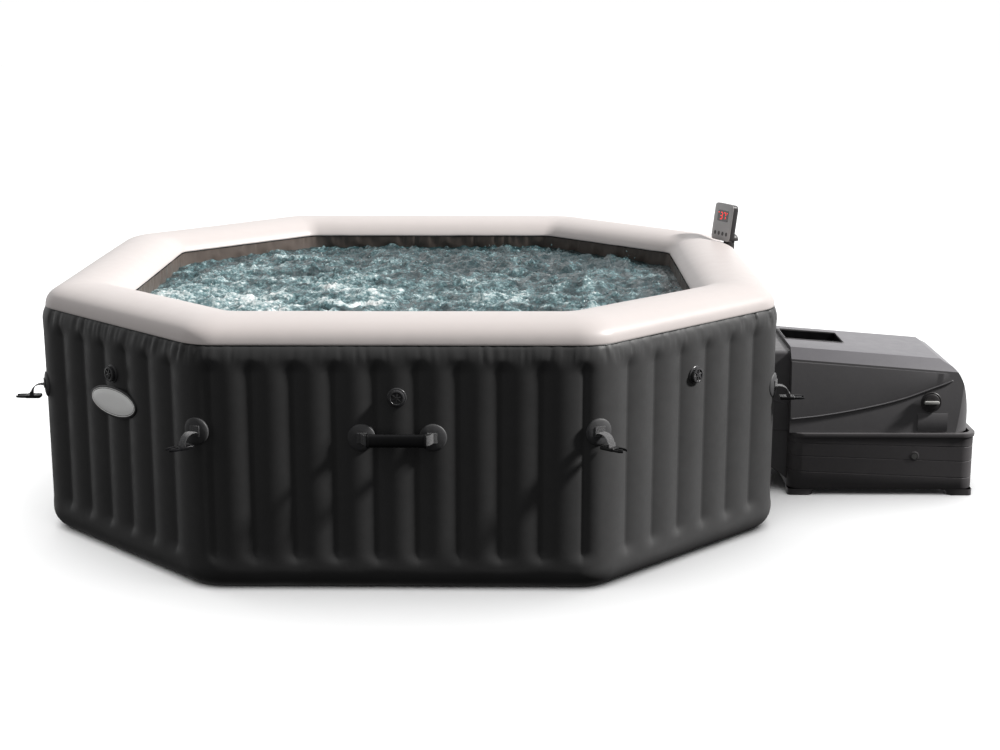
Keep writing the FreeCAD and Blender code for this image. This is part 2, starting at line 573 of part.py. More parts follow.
def make_panel():
    x, y = SWIVEL
    saddle = rim_form(-6).fuse(ring(-6, 0, SEAM_Z - 60, SEAM_Z))
    saddle = saddle.common(box(1015, 1100, 425, 500, SEAM_Z - 60, 760))
    boss = rod(19, (x, y, 690), (x, y, SWIVEL_Z))
    bracket = saddle.fuse(boss).cut(rim_form(0)).cut(slab(0, SEAM_Z - 70, SEAM_Z))
    bracket = bracket.cut(rim_form(SKIN))
    bracket = bracket.cut(rod(6 + FIT, (x, y, 712), (x, y, SWIVEL_Z)))
    add("panel_bracket", max(bracket.Solids, key=lambda solid: solid.Volume))

    ears = []
    for side in (-1, 1):
        inner, outer = sorted((side * 9.4, side * 15))
        ear = rod(5.5, (inner, PIN_Y, PIN_Z), (outer, PIN_Y, PIN_Z))
        ears += [ear, box(inner, outer, 26.5, 36, -62, PIN_Z)]
    pin = rod(4, (-15, PIN_Y, PIN_Z), (15, PIN_Y, PIN_Z))
    hump = Part.makeSphere(22, V(0, 50, -58)).common(box(-30, 30, 37, 90, -90, -20))
    yoke = ears[0].fuse(ears[1:] + [pin, box(-15, 15, 26.5, 60, -68, -60), hump])
    hub = rod(19, (x, y, SWIVEL_Z + GAP), (x, y, 736))
    neck = on_panel(yoke).fuse(hub)
    neck = neck.cut(box(x - 100, x + 100, y - 100, y + 100, 650, SWIVEL_Z + GAP))
    neck = neck.fuse(rod(6, (x, y, 713), (x, y, 730))).cut(on_panel(box(-60, 60, -10, 25.8, -90, 90)))
    add("panel_neck", neck.removeSplitter())

    shell = panel_block(2.2, PANEL_T, 0, 14).cut(panel_block(2.2, PANEL_T - 2.5, 2.5, 12))
    lug = box(-9, 9, PANEL_T, PIN_Y, PIN_Z - 5.5, PIN_Z + 5.5)
    lug = lug.fuse(rod(5.5, (-9, PIN_Y, PIN_Z), (9, PIN_Y, PIN_Z)))
    lug = lug.cut(rod(4 + FIT, (-9, PIN_Y, PIN_Z), (9, PIN_Y, PIN_Z)))
    add("panel_housing", on_panel(shell.fuse(lug)))
    window = box(-34, 34, 0, 2.2, 2, 40)
    bezel = panel_block(0, 2.2, 0, 14).cut(window)
    for number, across in enumerate(BUTTON_X, 1):
        bezel = bezel.cut(rod(BUTTON_R + 0.25, (across, -1, BUTTON_Z), (across, 3, BUTTON_Z)))
        button = rod(BUTTON_R, (across, -1.5, BUTTON_Z), (across, 4.5, BUTTON_Z))
        button = button.fuse(rod(BUTTON_R + 1.5, (across, 2.5, BUTTON_Z), (across, 4.5, BUTTON_Z)))
        add("panel_button_%d" % number, on_panel(button))
    add("panel_bezel", on_panel(bezel))
    add("display_window", on_panel(window))


def main():
    make_shell()
    make_beams()
    make_valves()
    make_clips()
    make_handle()
    make_badge()
    make_drain()
    make_jets()
    make_couplings()
    make_tray()
    make_cover()
    make_hood()
    make_filter()
    make_pumps()
    make_base_internals()
    make_base_fittings()
    make_panel()
    os.makedirs("parts", exist_ok=True)
    for name, shape in nodes.items():
        shape.exportStep("parts/%s.step" % name)
        print("%-26s solids %3d  valid %s  litres %.3f" % (
            name, len(shape.Solids), shape.isValid(), shape.Volume / 1e6))
    print(len(nodes), "nodes")


main()
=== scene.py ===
import math
import random

import bmesh
import bpy
from mathutils import Matrix, Vector, noise


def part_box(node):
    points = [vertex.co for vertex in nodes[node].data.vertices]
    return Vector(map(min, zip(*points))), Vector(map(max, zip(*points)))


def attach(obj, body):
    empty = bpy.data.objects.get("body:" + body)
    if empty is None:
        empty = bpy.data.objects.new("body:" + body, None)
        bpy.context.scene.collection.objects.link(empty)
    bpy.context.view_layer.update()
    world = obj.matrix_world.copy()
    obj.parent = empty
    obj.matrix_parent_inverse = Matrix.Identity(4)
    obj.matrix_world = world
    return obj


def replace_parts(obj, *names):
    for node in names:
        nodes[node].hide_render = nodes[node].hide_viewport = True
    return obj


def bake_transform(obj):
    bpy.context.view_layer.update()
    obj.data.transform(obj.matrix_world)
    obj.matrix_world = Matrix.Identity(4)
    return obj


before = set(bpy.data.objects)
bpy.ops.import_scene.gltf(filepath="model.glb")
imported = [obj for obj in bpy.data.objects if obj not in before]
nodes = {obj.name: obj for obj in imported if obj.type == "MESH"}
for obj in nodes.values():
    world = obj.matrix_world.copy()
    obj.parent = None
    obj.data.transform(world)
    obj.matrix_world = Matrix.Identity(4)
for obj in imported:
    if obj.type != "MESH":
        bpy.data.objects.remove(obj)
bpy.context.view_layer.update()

# metres; the tub's centre on the ground is the origin, the base unit stands at +X
# and the front faces -Y
MAIN_APOTHEM = 1.090
DIAG_APOTHEM = 1.153
RIM_WIDTH = 0.240
CORNER_OUT = 0.140
CORNER_IN = 0.060
SEAM_Z = 0.670
SEAM_TOP = 0.676             # where the rolled wall meets the pale rim
EIGHTH = math.pi / 8
ROOT2 = math.sqrt(2)
STEP = 0.0055               # spacing of the wall's columns, a twentieth of a rib
PITCH = 0.110
RIB_DEPTH = 0.012
RIB_RADIUS = (0.055 ** 2 + RIB_DEPTH ** 2) / (2 * RIB_DEPTH)
WATER_Z = 0.640
WATER_STEP = 0.0095
BOILS, DROPS = 70, 260
# the rim's profile, from the seam to the inner edge: (inset, height)
RIM_PROFILE = [(0.0180, 0.6745), (0.0114, 0.6775), (0.0110, 0.6860), (0.0142, 0.6995), (0.0215, 0.7120),
               (0.0345, 0.7235), (0.0550, 0.7340), (0.0850, 0.7418), (0.1200, 0.7445), (0.1550, 0.7420),
               (0.1850, 0.7350), (0.2080, 0.7240), (0.2240, 0.7110), (0.2345, 0.6985), (0.2392, 0.6885),
               (0.2350, 0.6850)]
PRESSED = 0.0245            # how far the panel's bracket presses into the rim
CLIP_Z = 0.445
HANDLE_Z = 0.431
VALVE_Z = 0.540
BADGE_Z = 0.459
CLIPS = {
    "right_front": (0, 0), "right_back": (1, 0), "back_right": (2, 42),
    "back_left": (3, 138), "left_back": (4, 180), "left_front": (5, 180),
    "front_left": (6, -138), "front_right": (7, -42),
}
VALVES = {"left": -135, "front": -90, "right": -45}
BASE_X0, BASE_X1 = 1.190, 1.785
BASE_Y, BASE_HALF = 0.030, 0.225
KNOB = (1.637, 0.306)


# --- materials --------------------------------------------------------------------
class Nodes:
    """A short way to wire a procedural material."""

    def __init__(self, tree):
        self.tree = tree

    def add(self, kind, **inputs):
        node = self.tree.nodes.new(kind)
        for key, value in inputs.items():
            if key in node.bl_rna.properties:
                setattr(node, key, value)
                continue
            socket = node.inputs[key.replace("_", " ")]
            if isinstance(value, bpy.types.NodeSocket):
                self.tree.links.new(value, socket)
            else:
                socket.default_value = value
        return node

    def math(self, operation, a, b=0.5):
        node = self.tree.nodes.new("ShaderNodeMath")
        node.operation = operation
        for socket, value in zip(node.inputs, (a, b)):
            if isinstance(value, bpy.types.NodeSocket):
                self.tree.links.new(value, socket)
            else:
                socket.default_value = value
        return node.outputs[0]

    def ramp(self, fac, stops):
        node = self.tree.nodes.new("ShaderNodeValToRGB")
        self.tree.links.new(fac, node.inputs[0])
        elements = node.color_ramp.elements
        while len(elements) < len(stops):
            elements.new(0.5)
        for element, (position, colour) in zip(elements, stops):
            element.position = position
            element.color = (*colour, 1) if len(colour) == 3 else colour
        return node.outputs[0]

    def span(self, value, low, high, to_low=0.0, to_high=1.0):
        node = self.tree.nodes.new("ShaderNodeMapRange")
        self.tree.links.new(value, node.inputs[0])
        for socket, number in zip(node.inputs[1:5], (low, high, to_low, to_high)):
            socket.default_value = number
        return node.outputs[0]

    def link(self, a, b):
        self.tree.links.new(a, b)


def tone(colour, factor):
    return tuple(min(1.0, channel * factor) for channel in colour)


def finish(name, colour, spread=0.15, scale=9.0, rough=(0.4, 0.5), rough_scale=25.0,
           grain=0.15, grain_scale=900.0, grain_depth=0.0004, dents=0.0, dents_scale=6.0,
           weave=None, slot=None, **sockets):
    """Principled material: cloudy colour, uneven gloss, fine grain and, where asked, a weave."""
    material = bpy.data.materials.new(name + "_look")
    material["slot"] = slot or name
    material.use_nodes = True
    n = Nodes(material.node_tree)
    shader = material.node_tree.nodes["Principled BSDF"]
    coords = n.add("ShaderNodeTexCoord").outputs["Object"]
    cloud = n.add("ShaderNodeTexNoise", Vector=coords, Scale=scale, Detail=6.0, Roughness=0.6).outputs["Fac"]
    fine = n.add("ShaderNodeTexNoise", Vector=coords, Scale=scale * 14, Detail=3.0).outputs["Fac"]
    both = n.math("ADD", n.math("MULTIPLY", cloud, 0.7), n.math("MULTIPLY", fine, 0.3))
    tint = n.ramp(both, [(0.3, tone(colour, 1 - spread)), (0.7, tone(colour, 1 + spread))])
    patch = n.add("ShaderNodeTexNoise", Vector=coords, Scale=rough_scale, Detail=4.0).outputs["Fac"]
    n.link(n.span(patch, 0.3, 0.7, *rough), shader.inputs["Roughness"])
    height = n.add("ShaderNodeTexNoise", Vector=coords, Scale=grain_scale, Detail=2.0).outputs["Fac"]
    if weave:
        uv = n.add("ShaderNodeTexCoord").outputs["UV"]
        threads = []
        for direction in "XY":
            wave = n.add("ShaderNodeTexWave", Vector=uv, Scale=weave, Distortion=0.6)
            wave.bands_direction = direction
            wave.inputs["Detail Scale"].default_value = 2.0
            threads.append(wave.outputs["Fac"])
        cloth = n.math("MULTIPLY", threads[0], threads[1])
        height = n.math("ADD", n.math("MULTIPLY", height, 0.3), cloth)
        mixed = n.add("ShaderNodeMix", data_type="RGBA", blend_type="MULTIPLY")
        n.link(tint, mixed.inputs[6])
        n.link(n.ramp(cloth, [(0.0, (0.62,) * 3), (0.7, (1.0,) * 3)]), mixed.inputs[7])
        mixed.inputs[0].default_value = 1.0
        tint = mixed.outputs[2]
    bump = n.add("ShaderNodeBump", Strength=grain, Distance=grain_depth, Height=height).outputs[0]
    if dents:
        wide = n.add("ShaderNodeTexNoise", Vector=coords, Scale=dents_scale, Detail=2.0).outputs["Fac"]
        bump = n.add("ShaderNodeBump", Strength=dents, Distance=0.01, Height=wide, Normal=bump).outputs[0]
    n.link(tint, shader.inputs["Base Color"])
    n.link(bump, shader.inputs["Normal"])
    for key, value in sockets.items():
        shader.inputs[key.replace("_", " ")].default_value = value
    return material


WALL = finish("wall_fabric", (0.064, 0.064, 0.065), spread=0.10, scale=3.0, rough=(0.42, 0.52),
              grain=0.25, grain_scale=1400, dents=0.05, dents_scale=14, Specular_IOR_Level=0.30)
RIM = finish("rim_fabric", (0.575, 0.528, 0.515), spread=0.02, scale=2.0, rough=(0.36, 0.44),
             grain=0.10, grain_scale=1200, dents=0.03, dents_scale=5, Specular_IOR_Level=0.4)
BATH = finish("bath_fabric", (0.115, 0.092, 0.080), spread=0.15, scale=3.0, rough=(0.35, 0.45),
              grain=0.2, grain_scale=1300, dents=0.05, dents_scale=10)
WEB = finish("beam_mesh", (0.30, 0.30, 0.30), grain=0.3)
# the wall fabric painted near black for the seam bead: painted shade in the crease under the rim
SEAM_SHADE = finish("seam_weld", slot="wall_fabric", colour=(0.010, 0.010, 0.010), rough=(0.3, 0.45), grain=0.3,
              grain_scale=700)
STRAP = finish("webbing", (0.16, 0.16, 0.165), spread=0.1, scale=60, rough=(0.6, 0.75), grain=0.9,
               grain_scale=2500, grain_depth=0.0005, weave=140.0, Sheen_Weight=0.25)
PATCH = finish("patch_rubber", (0.075, 0.075, 0.078), spread=0.12, scale=20, rough=(0.5, 0.62),
               grain=0.35, grain_scale=1600, dents=0.08, dents_scale=60)
BLACK = finish("black_plastic", (0.008, 0.008, 0.009), spread=0.2, scale=20, rough=(0.28, 0.40),
               grain=0.12, grain_scale=1500)
VALVE = finish("valve_plastic", (0.065, 0.065, 0.068), spread=0.15, scale=30, rough=(0.18, 0.28),
               grain=0.12, grain_scale=1600)
BADGE = finish("badge_plastic", (0.88, 0.88, 0.87), spread=0.03, scale=15, rough=(0.30, 0.38),
               grain=0.05, grain_scale=1500)
DARK_LINE = finish("badge_line", slot="badge_plastic", colour=(0.03, 0.03, 0.032), spread=0.1, scale=30,
                   rough=(0.35, 0.45),
                   grain=0.08, grain_scale=1500)
TRAY = finish("tray_plastic", (0.105, 0.100, 0.104), spread=0.1, scale=8, rough=(0.42, 0.52),
              grain=0.3, grain_scale=1300)
# The cover is one plastic in two copies: the top copy is lighter and the side copy darker, painted light and shade
# for how the light falls on each.
COVER_LIT = finish("cover_plastic", (0.195, 0.190, 0.205), spread=0.05, scale=6, rough=(0.42, 0.50),
               grain=0.3, grain_scale=1300)
COVER_SHADE = finish("cover_side_plastic", slot="cover_plastic", colour=(0.135, 0.132, 0.137), spread=0.07, scale=6,
              rough=(0.40, 0.50),
              grain=0.3, grain_scale=1300)
# a lighter copy of the cover plastic for the crease line on the sides: painted highlight along its shoulder
COVER_LINE_HIGHLIGHT = finish("cover_line_plastic", slot="cover_plastic", colour=(0.175, 0.172, 0.180), spread=0.05, scale=6,
                   rough=(0.40, 0.50), grain=0.2, grain_scale=1300)
INNER = finish("inner_plastic", (0.55, 0.55, 0.53), spread=0.05, scale=12, rough=(0.4, 0.5),
               grain=0.15, grain_scale=1200)
PAPER = finish("filter_paper", (0.75, 0.74, 0.68), spread=0.06, scale=30, rough=(0.8, 0.9), grain=0.5,
               grain_scale=600)
MOTOR = finish("motor_metal", (0.30, 0.31, 0.32), spread=0.08, scale=30, rough=(0.32, 0.45),
               grain=0.2, grain_scale=1400, Metallic=1.0)
STEEL = finish("steel", slot="screw_metal", colour=(0.55, 0.55, 0.54), spread=0.06, scale=30, rough=(0.22,
               0.34), grain=0.1,
               grain_scale=2000, Metallic=1.0)
SILVER = finish("bezel_plastic", (0.40, 0.39, 0.39), spread=0.04, scale=30, rough=(0.30, 0.38),
                grain=0.15, grain_scale=2200, Coat_Weight=0.2)
GLASS = finish("display_glass", (0.020, 0.012, 0.013), spread=0.2, scale=40, rough=(0.08, 0.14),
               grain=0.02, grain_scale=2000, Coat_Weight=0.5)
HOUSING = finish("housing_plastic", slot="black_plastic", colour=(0.055, 0.052, 0.054), spread=0.1, scale=20,
                 rough=(0.38, 0.48),
                 grain=0.25, grain_scale=1500)
DIGIT = finish("digit_glow", slot="display_glass", colour=(0.75, 0.02, 0.02), spread=0.1, scale=60, rough=(0.3,
               0.4), grain=0.02,
               Emission_Color=(1.0, 0.02, 0.015, 1), Emission_Strength=1.6)


def water_material():
    material = bpy.data.materials.new("bath_water")
    material["slot"] = "bath_fabric"
    material.use_nodes = True
    n = Nodes(material.node_tree)
    shader = material.node_tree.nodes["Principled BSDF"]
    coords = n.add("ShaderNodeTexCoord").outputs["Object"]
    split = n.add("ShaderNodeSeparateXYZ", Vector=coords).outputs
    lump = n.add("ShaderNodeTexNoise", Vector=coords, Scale=21.0, Detail=10.0, Roughness=0.74).outputs["Fac"]
    fizz = n.add("ShaderNodeTexVoronoi", Vector=coords, Scale=95.0).outputs["Distance"]
    rise = n.span(split["Z"], WATER_Z - 0.012, WATER_Z + 0.030, 0.0, 1.0)
    # foam gathers in broad drifts, thicker over the jets, and leaves dark pools between them
    drift = n.add("ShaderNodeTexNoise", Vector=coords, Scale=3.4, Detail=3.0, Distortion=0.8).outputs["Fac"]
    foam = n.math("ADD", n.math("MULTIPLY", rise, 0.36), n.math("MULTIPLY", lump, 1.9))
    foam = n.math("ADD", foam, n.span(drift, 0.30, 0.70, -0.62, -0.20))
    foam = n.math("ADD", foam, n.span(split["X"], -0.80, 0.50, 0.10, -0.10))
    foam = n.math("ADD", foam, n.span(split["Y"], -0.20, 0.75, 0.0, -0.20))
    foam = n.math("SUBTRACT", foam, n.math("MULTIPLY", fizz, 0.30))
    tint = n.ramp(foam, [(0.34, (0.010, 0.036, 0.043)), (0.50, (0.050, 0.115, 0.128)),
                         (0.66, (0.17, 0.285, 0.305)), (0.80, (0.50, 0.60, 0.61)), (0.95, (0.86, 0.90, 0.90))])
    n.link(tint, shader.inputs["Base Color"])
    n.link(n.span(foam, 0.5, 0.9, 0.08, 0.5), shader.inputs["Roughness"])
    ripple = n.add("ShaderNodeTexNoise", Vector=coords, Scale=55.0, Detail=6.0, Roughness=0.65).outputs["Fac"]
    small = n.add("ShaderNodeBump", Strength=0.45, Distance=0.004, Height=fizz).outputs[0]
    n.link(n.add("ShaderNodeBump", Strength=0.9, Distance=0.012, Height=ripple, Normal=small).outputs[0],
           shader.inputs["Normal"])
    shader.inputs["Specular IOR Level"].default_value = 0.6
    return material


WATER = water_material()


# --- mesh helpers -----------------------------------------------------------------
def shade(mesh, angle=None):
    """Smooth shading, sharp at edges steeper than an angle in degrees."""
    mesh.polygons.foreach_set("use_smooth", [True] * len(mesh.polygons))
    if angle is not None:
        mesh.set_sharp_from_angle(angle=math.radians(angle))


def piece(name, points, faces, material, body="tub", angle=None, slot=None, uvs=None):
    """A mesh piece that rides a body, or stands on its own when body is None."""
    mesh = bpy.data.meshes.new(name)
    mesh.from_pydata([tuple(p) for p in points], [], faces)
    if uvs:
        layer = mesh.uv_layers.new(name="UVMap")
        for loop in mesh.loops:
            layer.data[loop.index].uv = uvs[loop.vertex_index]
    return piece_from_mesh(name, mesh, material, body, angle)


def piece_from_mesh(name, mesh, material, body="tub", angle=None):
    bm = bmesh.new()
    bm.from_mesh(mesh)
    bmesh.ops.recalc_face_normals(bm, faces=bm.faces)
    bm.to_mesh(mesh)
    bm.free()
    shade(mesh, angle)
    mesh.materials.clear()
    mesh.materials.append(material)
    obj = bpy.data.objects.new(name, mesh)
    bpy.context.scene.collection.objects.link(obj)
    if body:
        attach(obj, body)
    return obj


def mesh_of(bm, name):
    """A new mesh from a bmesh, which is freed."""
    mesh = bpy.data.meshes.new(name)
    bm.to_mesh(mesh)
    bm.free()
    return mesh


def joined(name, meshes):
    bm = bmesh.new()
    for mesh in meshes:
        bm.from_mesh(mesh)
    return mesh_of(bm, name)


def shifted(mesh, x=0.0, y=0.0, z=0.0):
    mesh.transform(Matrix.Translation((x, y, z)))
    return mesh


def skin(rows, wrap_u=True, wrap_v=False):
    """Points and quads of a grid given row by row; u runs along a row."""
    count = len(rows[0])
    points = [p for row in rows for p in row]
    faces = []
    for j in range(len(rows) - (0 if wrap_v else 1)):
        low, high = j * count, (j + 1) % len(rows) * count
        for i in range(count if wrap_u else count - 1):
            k = (i + 1) % count
            faces.append((low + i, low + k, high + k, high + i))
    return points, faces


def capped(rows, first=True, last=True):
    """A skin closed by a face over its first row, its last row or both."""
    points, faces = skin(rows)
    count = len(rows[0])
    for base, wanted in ((0, first), (len(points) - count, last)):
        if wanted:
            faces.append(tuple(range(base, base + count)))
    return points, faces


def frame_at(origin, heading=0.0):
    """Local X points out along a heading in degrees, local Z up."""
    return Matrix.Translation(origin) @ Matrix.Rotation(math.radians(heading), 4, "Z")


def lathe(name, profile, matrix, material, body="tub", count=64, wobble=None, angle=35):
    """Turned piece about local X; profile is a list of (radius, distance out)."""
    rows = []
    for radius, out in profile:
        row = []
        for i in range(count):
            turn = math.tau * i / count
            r = radius + (wobble(turn, radius, out) if wobble else 0.0)
            row.append(matrix @ Vector((out, r * math.cos(turn), r * math.sin(turn))))
        rows.append(row)
    return piece(name, *capped(rows), material, body, angle)


def catmull(points, per=6):
    """Smooth curve through points of any dimension."""
    out = []
    padded = [points[0]] + list(points) + [points[-1]]
    for a, b, c, d in zip(padded, padded[1:], padded[2:], padded[3:]):
        for k in range(per):
            t = k / per
            out.append(tuple(0.5 * (2 * q + (r - p) * t + (2 * p - 5 * q + 4 * r - s) * t * t
                                    + (3 * q - p - 3 * r + s) * t ** 3)
                             for p, q, r, s in zip(a, b, c, d)))
    out.append(tuple(points[-1]))
    return out


def smooth(value, low, high):
    t = min(1.0, max(0.0, (value - low) / (high - low)))
    return t * t * (3 - 2 * t)


def bevelled(bm, width, segments=2, angle=28, keep=None):
    edges = [e for e in bm.edges if len(e.link_faces) == 2
             and e.calc_face_angle(0) > math.radians(angle) and (keep is None or keep(e))]
    bmesh.ops.bevel(bm, geom=edges, offset=width, segments=segments, profile=0.5,
                    affect="EDGES", clamp_overlap=True)


def prism_mesh(outline, depth, width=0.0, segments=2):
    """Outline in local XY, raised by depth along local Z, with rounded edges."""
    bm = bmesh.new()
    low = [bm.verts.new((x, y, 0)) for x, y in outline]
    face = bm.faces.new(low)
    raised = bmesh.ops.extrude_face_region(bm, geom=[face])
    moved = [v for v in raised["geom"] if isinstance(v, bmesh.types.BMVert)]
    bmesh.ops.translate(bm, verts=moved, vec=(0, 0, depth))
    bmesh.ops.recalc_face_normals(bm, faces=bm.faces)
    if width:
        bevelled(bm, width, segments)
    return mesh_of(bm, "outline")


def boolean(mesh, others, operation):
    """The mesh after booleans with the others."""
    obj = bpy.data.objects.new("work", mesh)
    bpy.context.scene.collection.objects.link(obj)
    extra = []
    for other in others:
        tool = bpy.data.objects.new("tool", other)
        bpy.context.scene.collection.objects.link(tool)
        modifier = obj.modifiers.new("cut", "BOOLEAN")
        modifier.operation, modifier.solver, modifier.object = operation, "EXACT", tool
        extra.append(tool)
    result = bpy.data.meshes.new_from_object(obj.evaluated_get(bpy.context.evaluated_depsgraph_get()))
    for o in [obj] + extra:
        bpy.data.objects.remove(o)
    return result


def rounded_rect(x0, x1, y0, y1, radius, steps=6):
    outline = []
    for cx, cy, start in ((x1 - radius, y1 - radius, 0), (x0 + radius, y1 - radius, 90),
                          (x0 + radius, y0 + radius, 180), (x1 - radius, y0 + radius, 270)):
        for k in range(steps + 1):
            turn = math.radians(start + 90 * k / steps)
            outline.append((cx + radius * math.cos(turn), cy + radius * math.sin(turn)))
    return outline


def ribbon(name, path, width, thick, material, body, across=Vector((0, 1, 0)), matrix=None):
    """Webbing along a path, with soft edges and a little crown; across is its width's direction."""
    section = []
    for k in range(16):
        turn = math.tau * k / 16
        c, s = math.cos(turn), math.sin(turn)
        section.append((math.copysign(abs(c) ** 0.35, c) * width / 2,
                        math.copysign(abs(s) ** 0.6, s) * thick / 2))
    rows, uvs, run = [], [], 0.0
    for i, point in enumerate(path):
        before, after = path[max(0, i - 1)], path[min(len(path) - 1, i + 1)]
        along = (after - before).normalized()
        out = along.cross(across).normalized()
        if i:
            run += (point - path[i - 1]).length
        rows.append([point + across * u + out * v for u, v in section])
        uvs += [(u * 10, run * 10) for u, _ in section]
    if matrix:
        rows = [[matrix @ p for p in row] for row in rows]
    return piece(name, *capped(rows), material, body, 60, uvs=uvs)


def bead(name, path, radius, material, body="tub", closed=False, sides=8):
    """Thin round bead along a path."""
    rows = []
    for i, point in enumerate(path):
        before = path[i - 1] if closed or i else path[0]
        after = path[(i + 1) % len(path)] if closed or i < len(path) - 1 else path[-1]
        along = (after - before).normalized()
        side = along.cross(Vector((0, 0, 1)))
        side = side.normalized() if side.length > 1e-4 else Vector((1, 0, 0))
        up = side.cross(along)
        rows.append([point + radius * (side * math.cos(math.tau * k / sides) + up * math.sin(math.tau * k / sides))
                     for k in range(sides)])
    points, faces = skin(rows, wrap_v=closed)
    if not closed:
        last = (len(rows) - 1) * sides
        faces += [tuple(range(sides)), tuple(last + k for k in range(sides))]
    return piece(name, points, faces, material, body)


# --- octagonal outline --------------------------------------------------------------
def outline(inset, radius):
    """Half lengths of the straight stretches: main faces, then diagonal faces."""
    a, d = MAIN_APOTHEM - inset, DIAG_APOTHEM - inset
    h = d * ROOT2 - a
    trim = radius * math.tan(EIGHTH)
    return h - trim, (a - h) / ROOT2 - trim


def columns(inset, radius, step):
    """(face number, run along the face from its middle) all the way round."""
    out = []
    for face in range(8):
        half = outline(inset, radius)[face % 2] + radius * EIGHTH
        count = int(half / step)
        out += [(face, k * step) for k in range(-count, count + 1)]
    return out


def point_on(face, run, inset, radius, push=0.0):
    """Plan point on the outline, moved out by push, and its outward normal."""
    straight = outline(inset, radius)[face % 2]
    apothem = (DIAG_APOTHEM if face % 2 else MAIN_APOTHEM) - inset
    reach, side = abs(run), math.copysign(1.0, run)
    if reach <= straight:
        x, y, nx, ny = apothem + push, run, 1.0, 0.0
    else:
        turn = (reach - straight) / radius
        nx, ny = math.cos(turn), side * math.sin(turn)
        x = apothem - radius + (radius + push) * nx
        y = side * straight + (radius + push) * ny
    c, s = math.cos(face * math.pi / 4), math.sin(face * math.pi / 4)
    return Vector((c * x - s * y, s * x + c * y, 0)), Vector((c * nx - s * ny, s * nx + c * ny, 0))


def rescale(face, run, old, new):
    """The same share of a face on another outline, each given as (inset, radius)."""
    a, b = outline(*old)[face % 2], outline(*new)[face % 2]
    reach = abs(run)
    if reach <= a:
        return run * b / a
    return math.copysign(b + (reach - a) / old[1] * new[1], run)


def crease_gap(face, run, lasts, ends):
    """Distance along the wall to the nearest crease between two ribs."""
    last, other = lasts[face % 2], lasts[1 - face % 2]
    reach = abs(run)
    if reach <= last:
        return abs((reach + PITCH / 2) % PITCH - PITCH * round(((reach + PITCH / 2) % PITCH) / PITCH))
    across = ends[face % 2] - reach + ends[1 - face % 2] - other
    return min(reach - last, across)


def rib_dip(gap, depth=RIB_DEPTH):
    """How far a rib's round front falls back, by the distance to its crease."""
    away = max(0.0, PITCH / 2 - gap)
    return (RIB_RADIUS - math.sqrt(RIB_RADIUS ** 2 - away ** 2)) * depth / RIB_DEPTH


OUT_LINE = (0.0, CORNER_OUT)
OUT_LASTS = (0.495, 0.275)
OUT_ENDS = tuple(s + CORNER_OUT * EIGHTH for s in outline(*OUT_LINE))
IN_LINE = (RIM_WIDTH, CORNER_IN)
IN_LASTS = (0.385, 0.165)
IN_ENDS = tuple(s + CORNER_IN * EIGHTH for s in outline(*IN_LINE))


def wall_push(face, run, z, place):
    """Ribs, gathers under the seam and slow unevenness of the outer wall."""
    gap = crease_gap(face, run, OUT_LASTS, OUT_ENDS)
    # each rib ends in a round shoulder: its crease stops short where the rib is full
    wander = 0.006 * noise.noise(place * 5.0)
    ribs = smooth(z, 0.072 + wander, 0.112) * (1 - smooth(z, 0.602, 0.646 + wander))
    push = -rib_dip(gap) * ribs
    # pleats where the wall is drawn into the seam
    corner = smooth(abs(run), OUT_ENDS[face % 2] - 0.22, OUT_ENDS[face % 2] - 0.02)
    strength = (0.55 + 0.45 * (face % 2)) + 0.35 * corner
    drawn = smooth(z, 0.618, 0.658) * (1 - 0.35 * smooth(z, 0.660, 0.670))
    slide = run + face * 3.1 + 0.35 * (z - SEAM_Z) * noise.noise(Vector((run * 4, face * 1.7, 0.3)))
    pleat = abs(noise.noise(Vector((slide * 38, 0.5, z * 2.0)))) * 2.2
    pleat += 0.5 * abs(noise.noise(Vector((slide * 80, 4.5, z * 4.0)))) * 2.0
    patchy = 0.35 + 0.9 * max(0.0, noise.noise(Vector((slide * 3.2, 9.1, 0.0))) + 0.35)
    push -= 0.0052 * drawn * strength * patchy * (1 - min(1.0, pleat))
    # the wall rolls in towards the seam
    above = max(0.0, z - 0.625) / (SEAM_TOP - 0.625)
    push -= 0.0105 * above ** 3
    push += 0.0011 * noise.noise(place * 3.5) * smooth(z, 0.03, 0.10)
    return push


def make_wall():
    cols = columns(0.0, CORNER_OUT, STEP)
    levels = [0.06 + 0.008 * k for k in range(10)] + [0.140 + 0.02 * k for k in range(0, 2)]
    levels += [0.20 + 0.05 * k for k in range(7)] + [0.53, 0.555] + [0.570 + 0.006 * k for k in range(16)]
    levels += [0.6645, 0.6675, SEAM_Z, 0.6735, SEAM_TOP]
    levels = sorted(set(round(z, 5) for z in levels))
    rows = []
    for inset, z in ((0.300, 0.0012), (0.060, 0.0004)):
        rows.append([point_on(f, r, 0.0, CORNER_OUT, -min(inset, 0.135))[0] + Vector((0, 0, z)) for f, r in cols])
    for k in range(1, 10):
        turn = math.pi / 2 * k / 10
        inset, z = 0.06 * (1 - math.sin(turn)), 0.06 * (1 - math.cos(turn))
        row = []
        for f, r in cols:
            at, out = point_on(f, r, 0.0, CORNER_OUT, -inset)
            ripple = 0.0012 * noise.noise(Vector((at.x * 9, at.y * 9, 2.0)))
            row.append(at + out * ripple + Vector((0, 0, z)))
        rows.append(row)
    for z in levels:
        row = []
        for f, r in cols:
            place = point_on(f, r, 0.0, CORNER_OUT)[0] + Vector((0, 0, z))
            at, _ = point_on(f, r, 0.0, CORNER_OUT, wall_push(f, r, z, place))
            row.append(at + Vector((0, 0, z)))
        rows.append(row)
    # the edge turns in behind the seam
    rows.append([point_on(f, r, 0.0, CORNER_OUT, -0.022)[0] + Vector((0, 0, SEAM_TOP + 0.001)) for f, r in cols])
    wall = piece("wall_chamber", *capped(rows, last=False), WALL, angle=50, slot="wall_fabric")
    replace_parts(wall, "outer_wall", "ground_sheet")


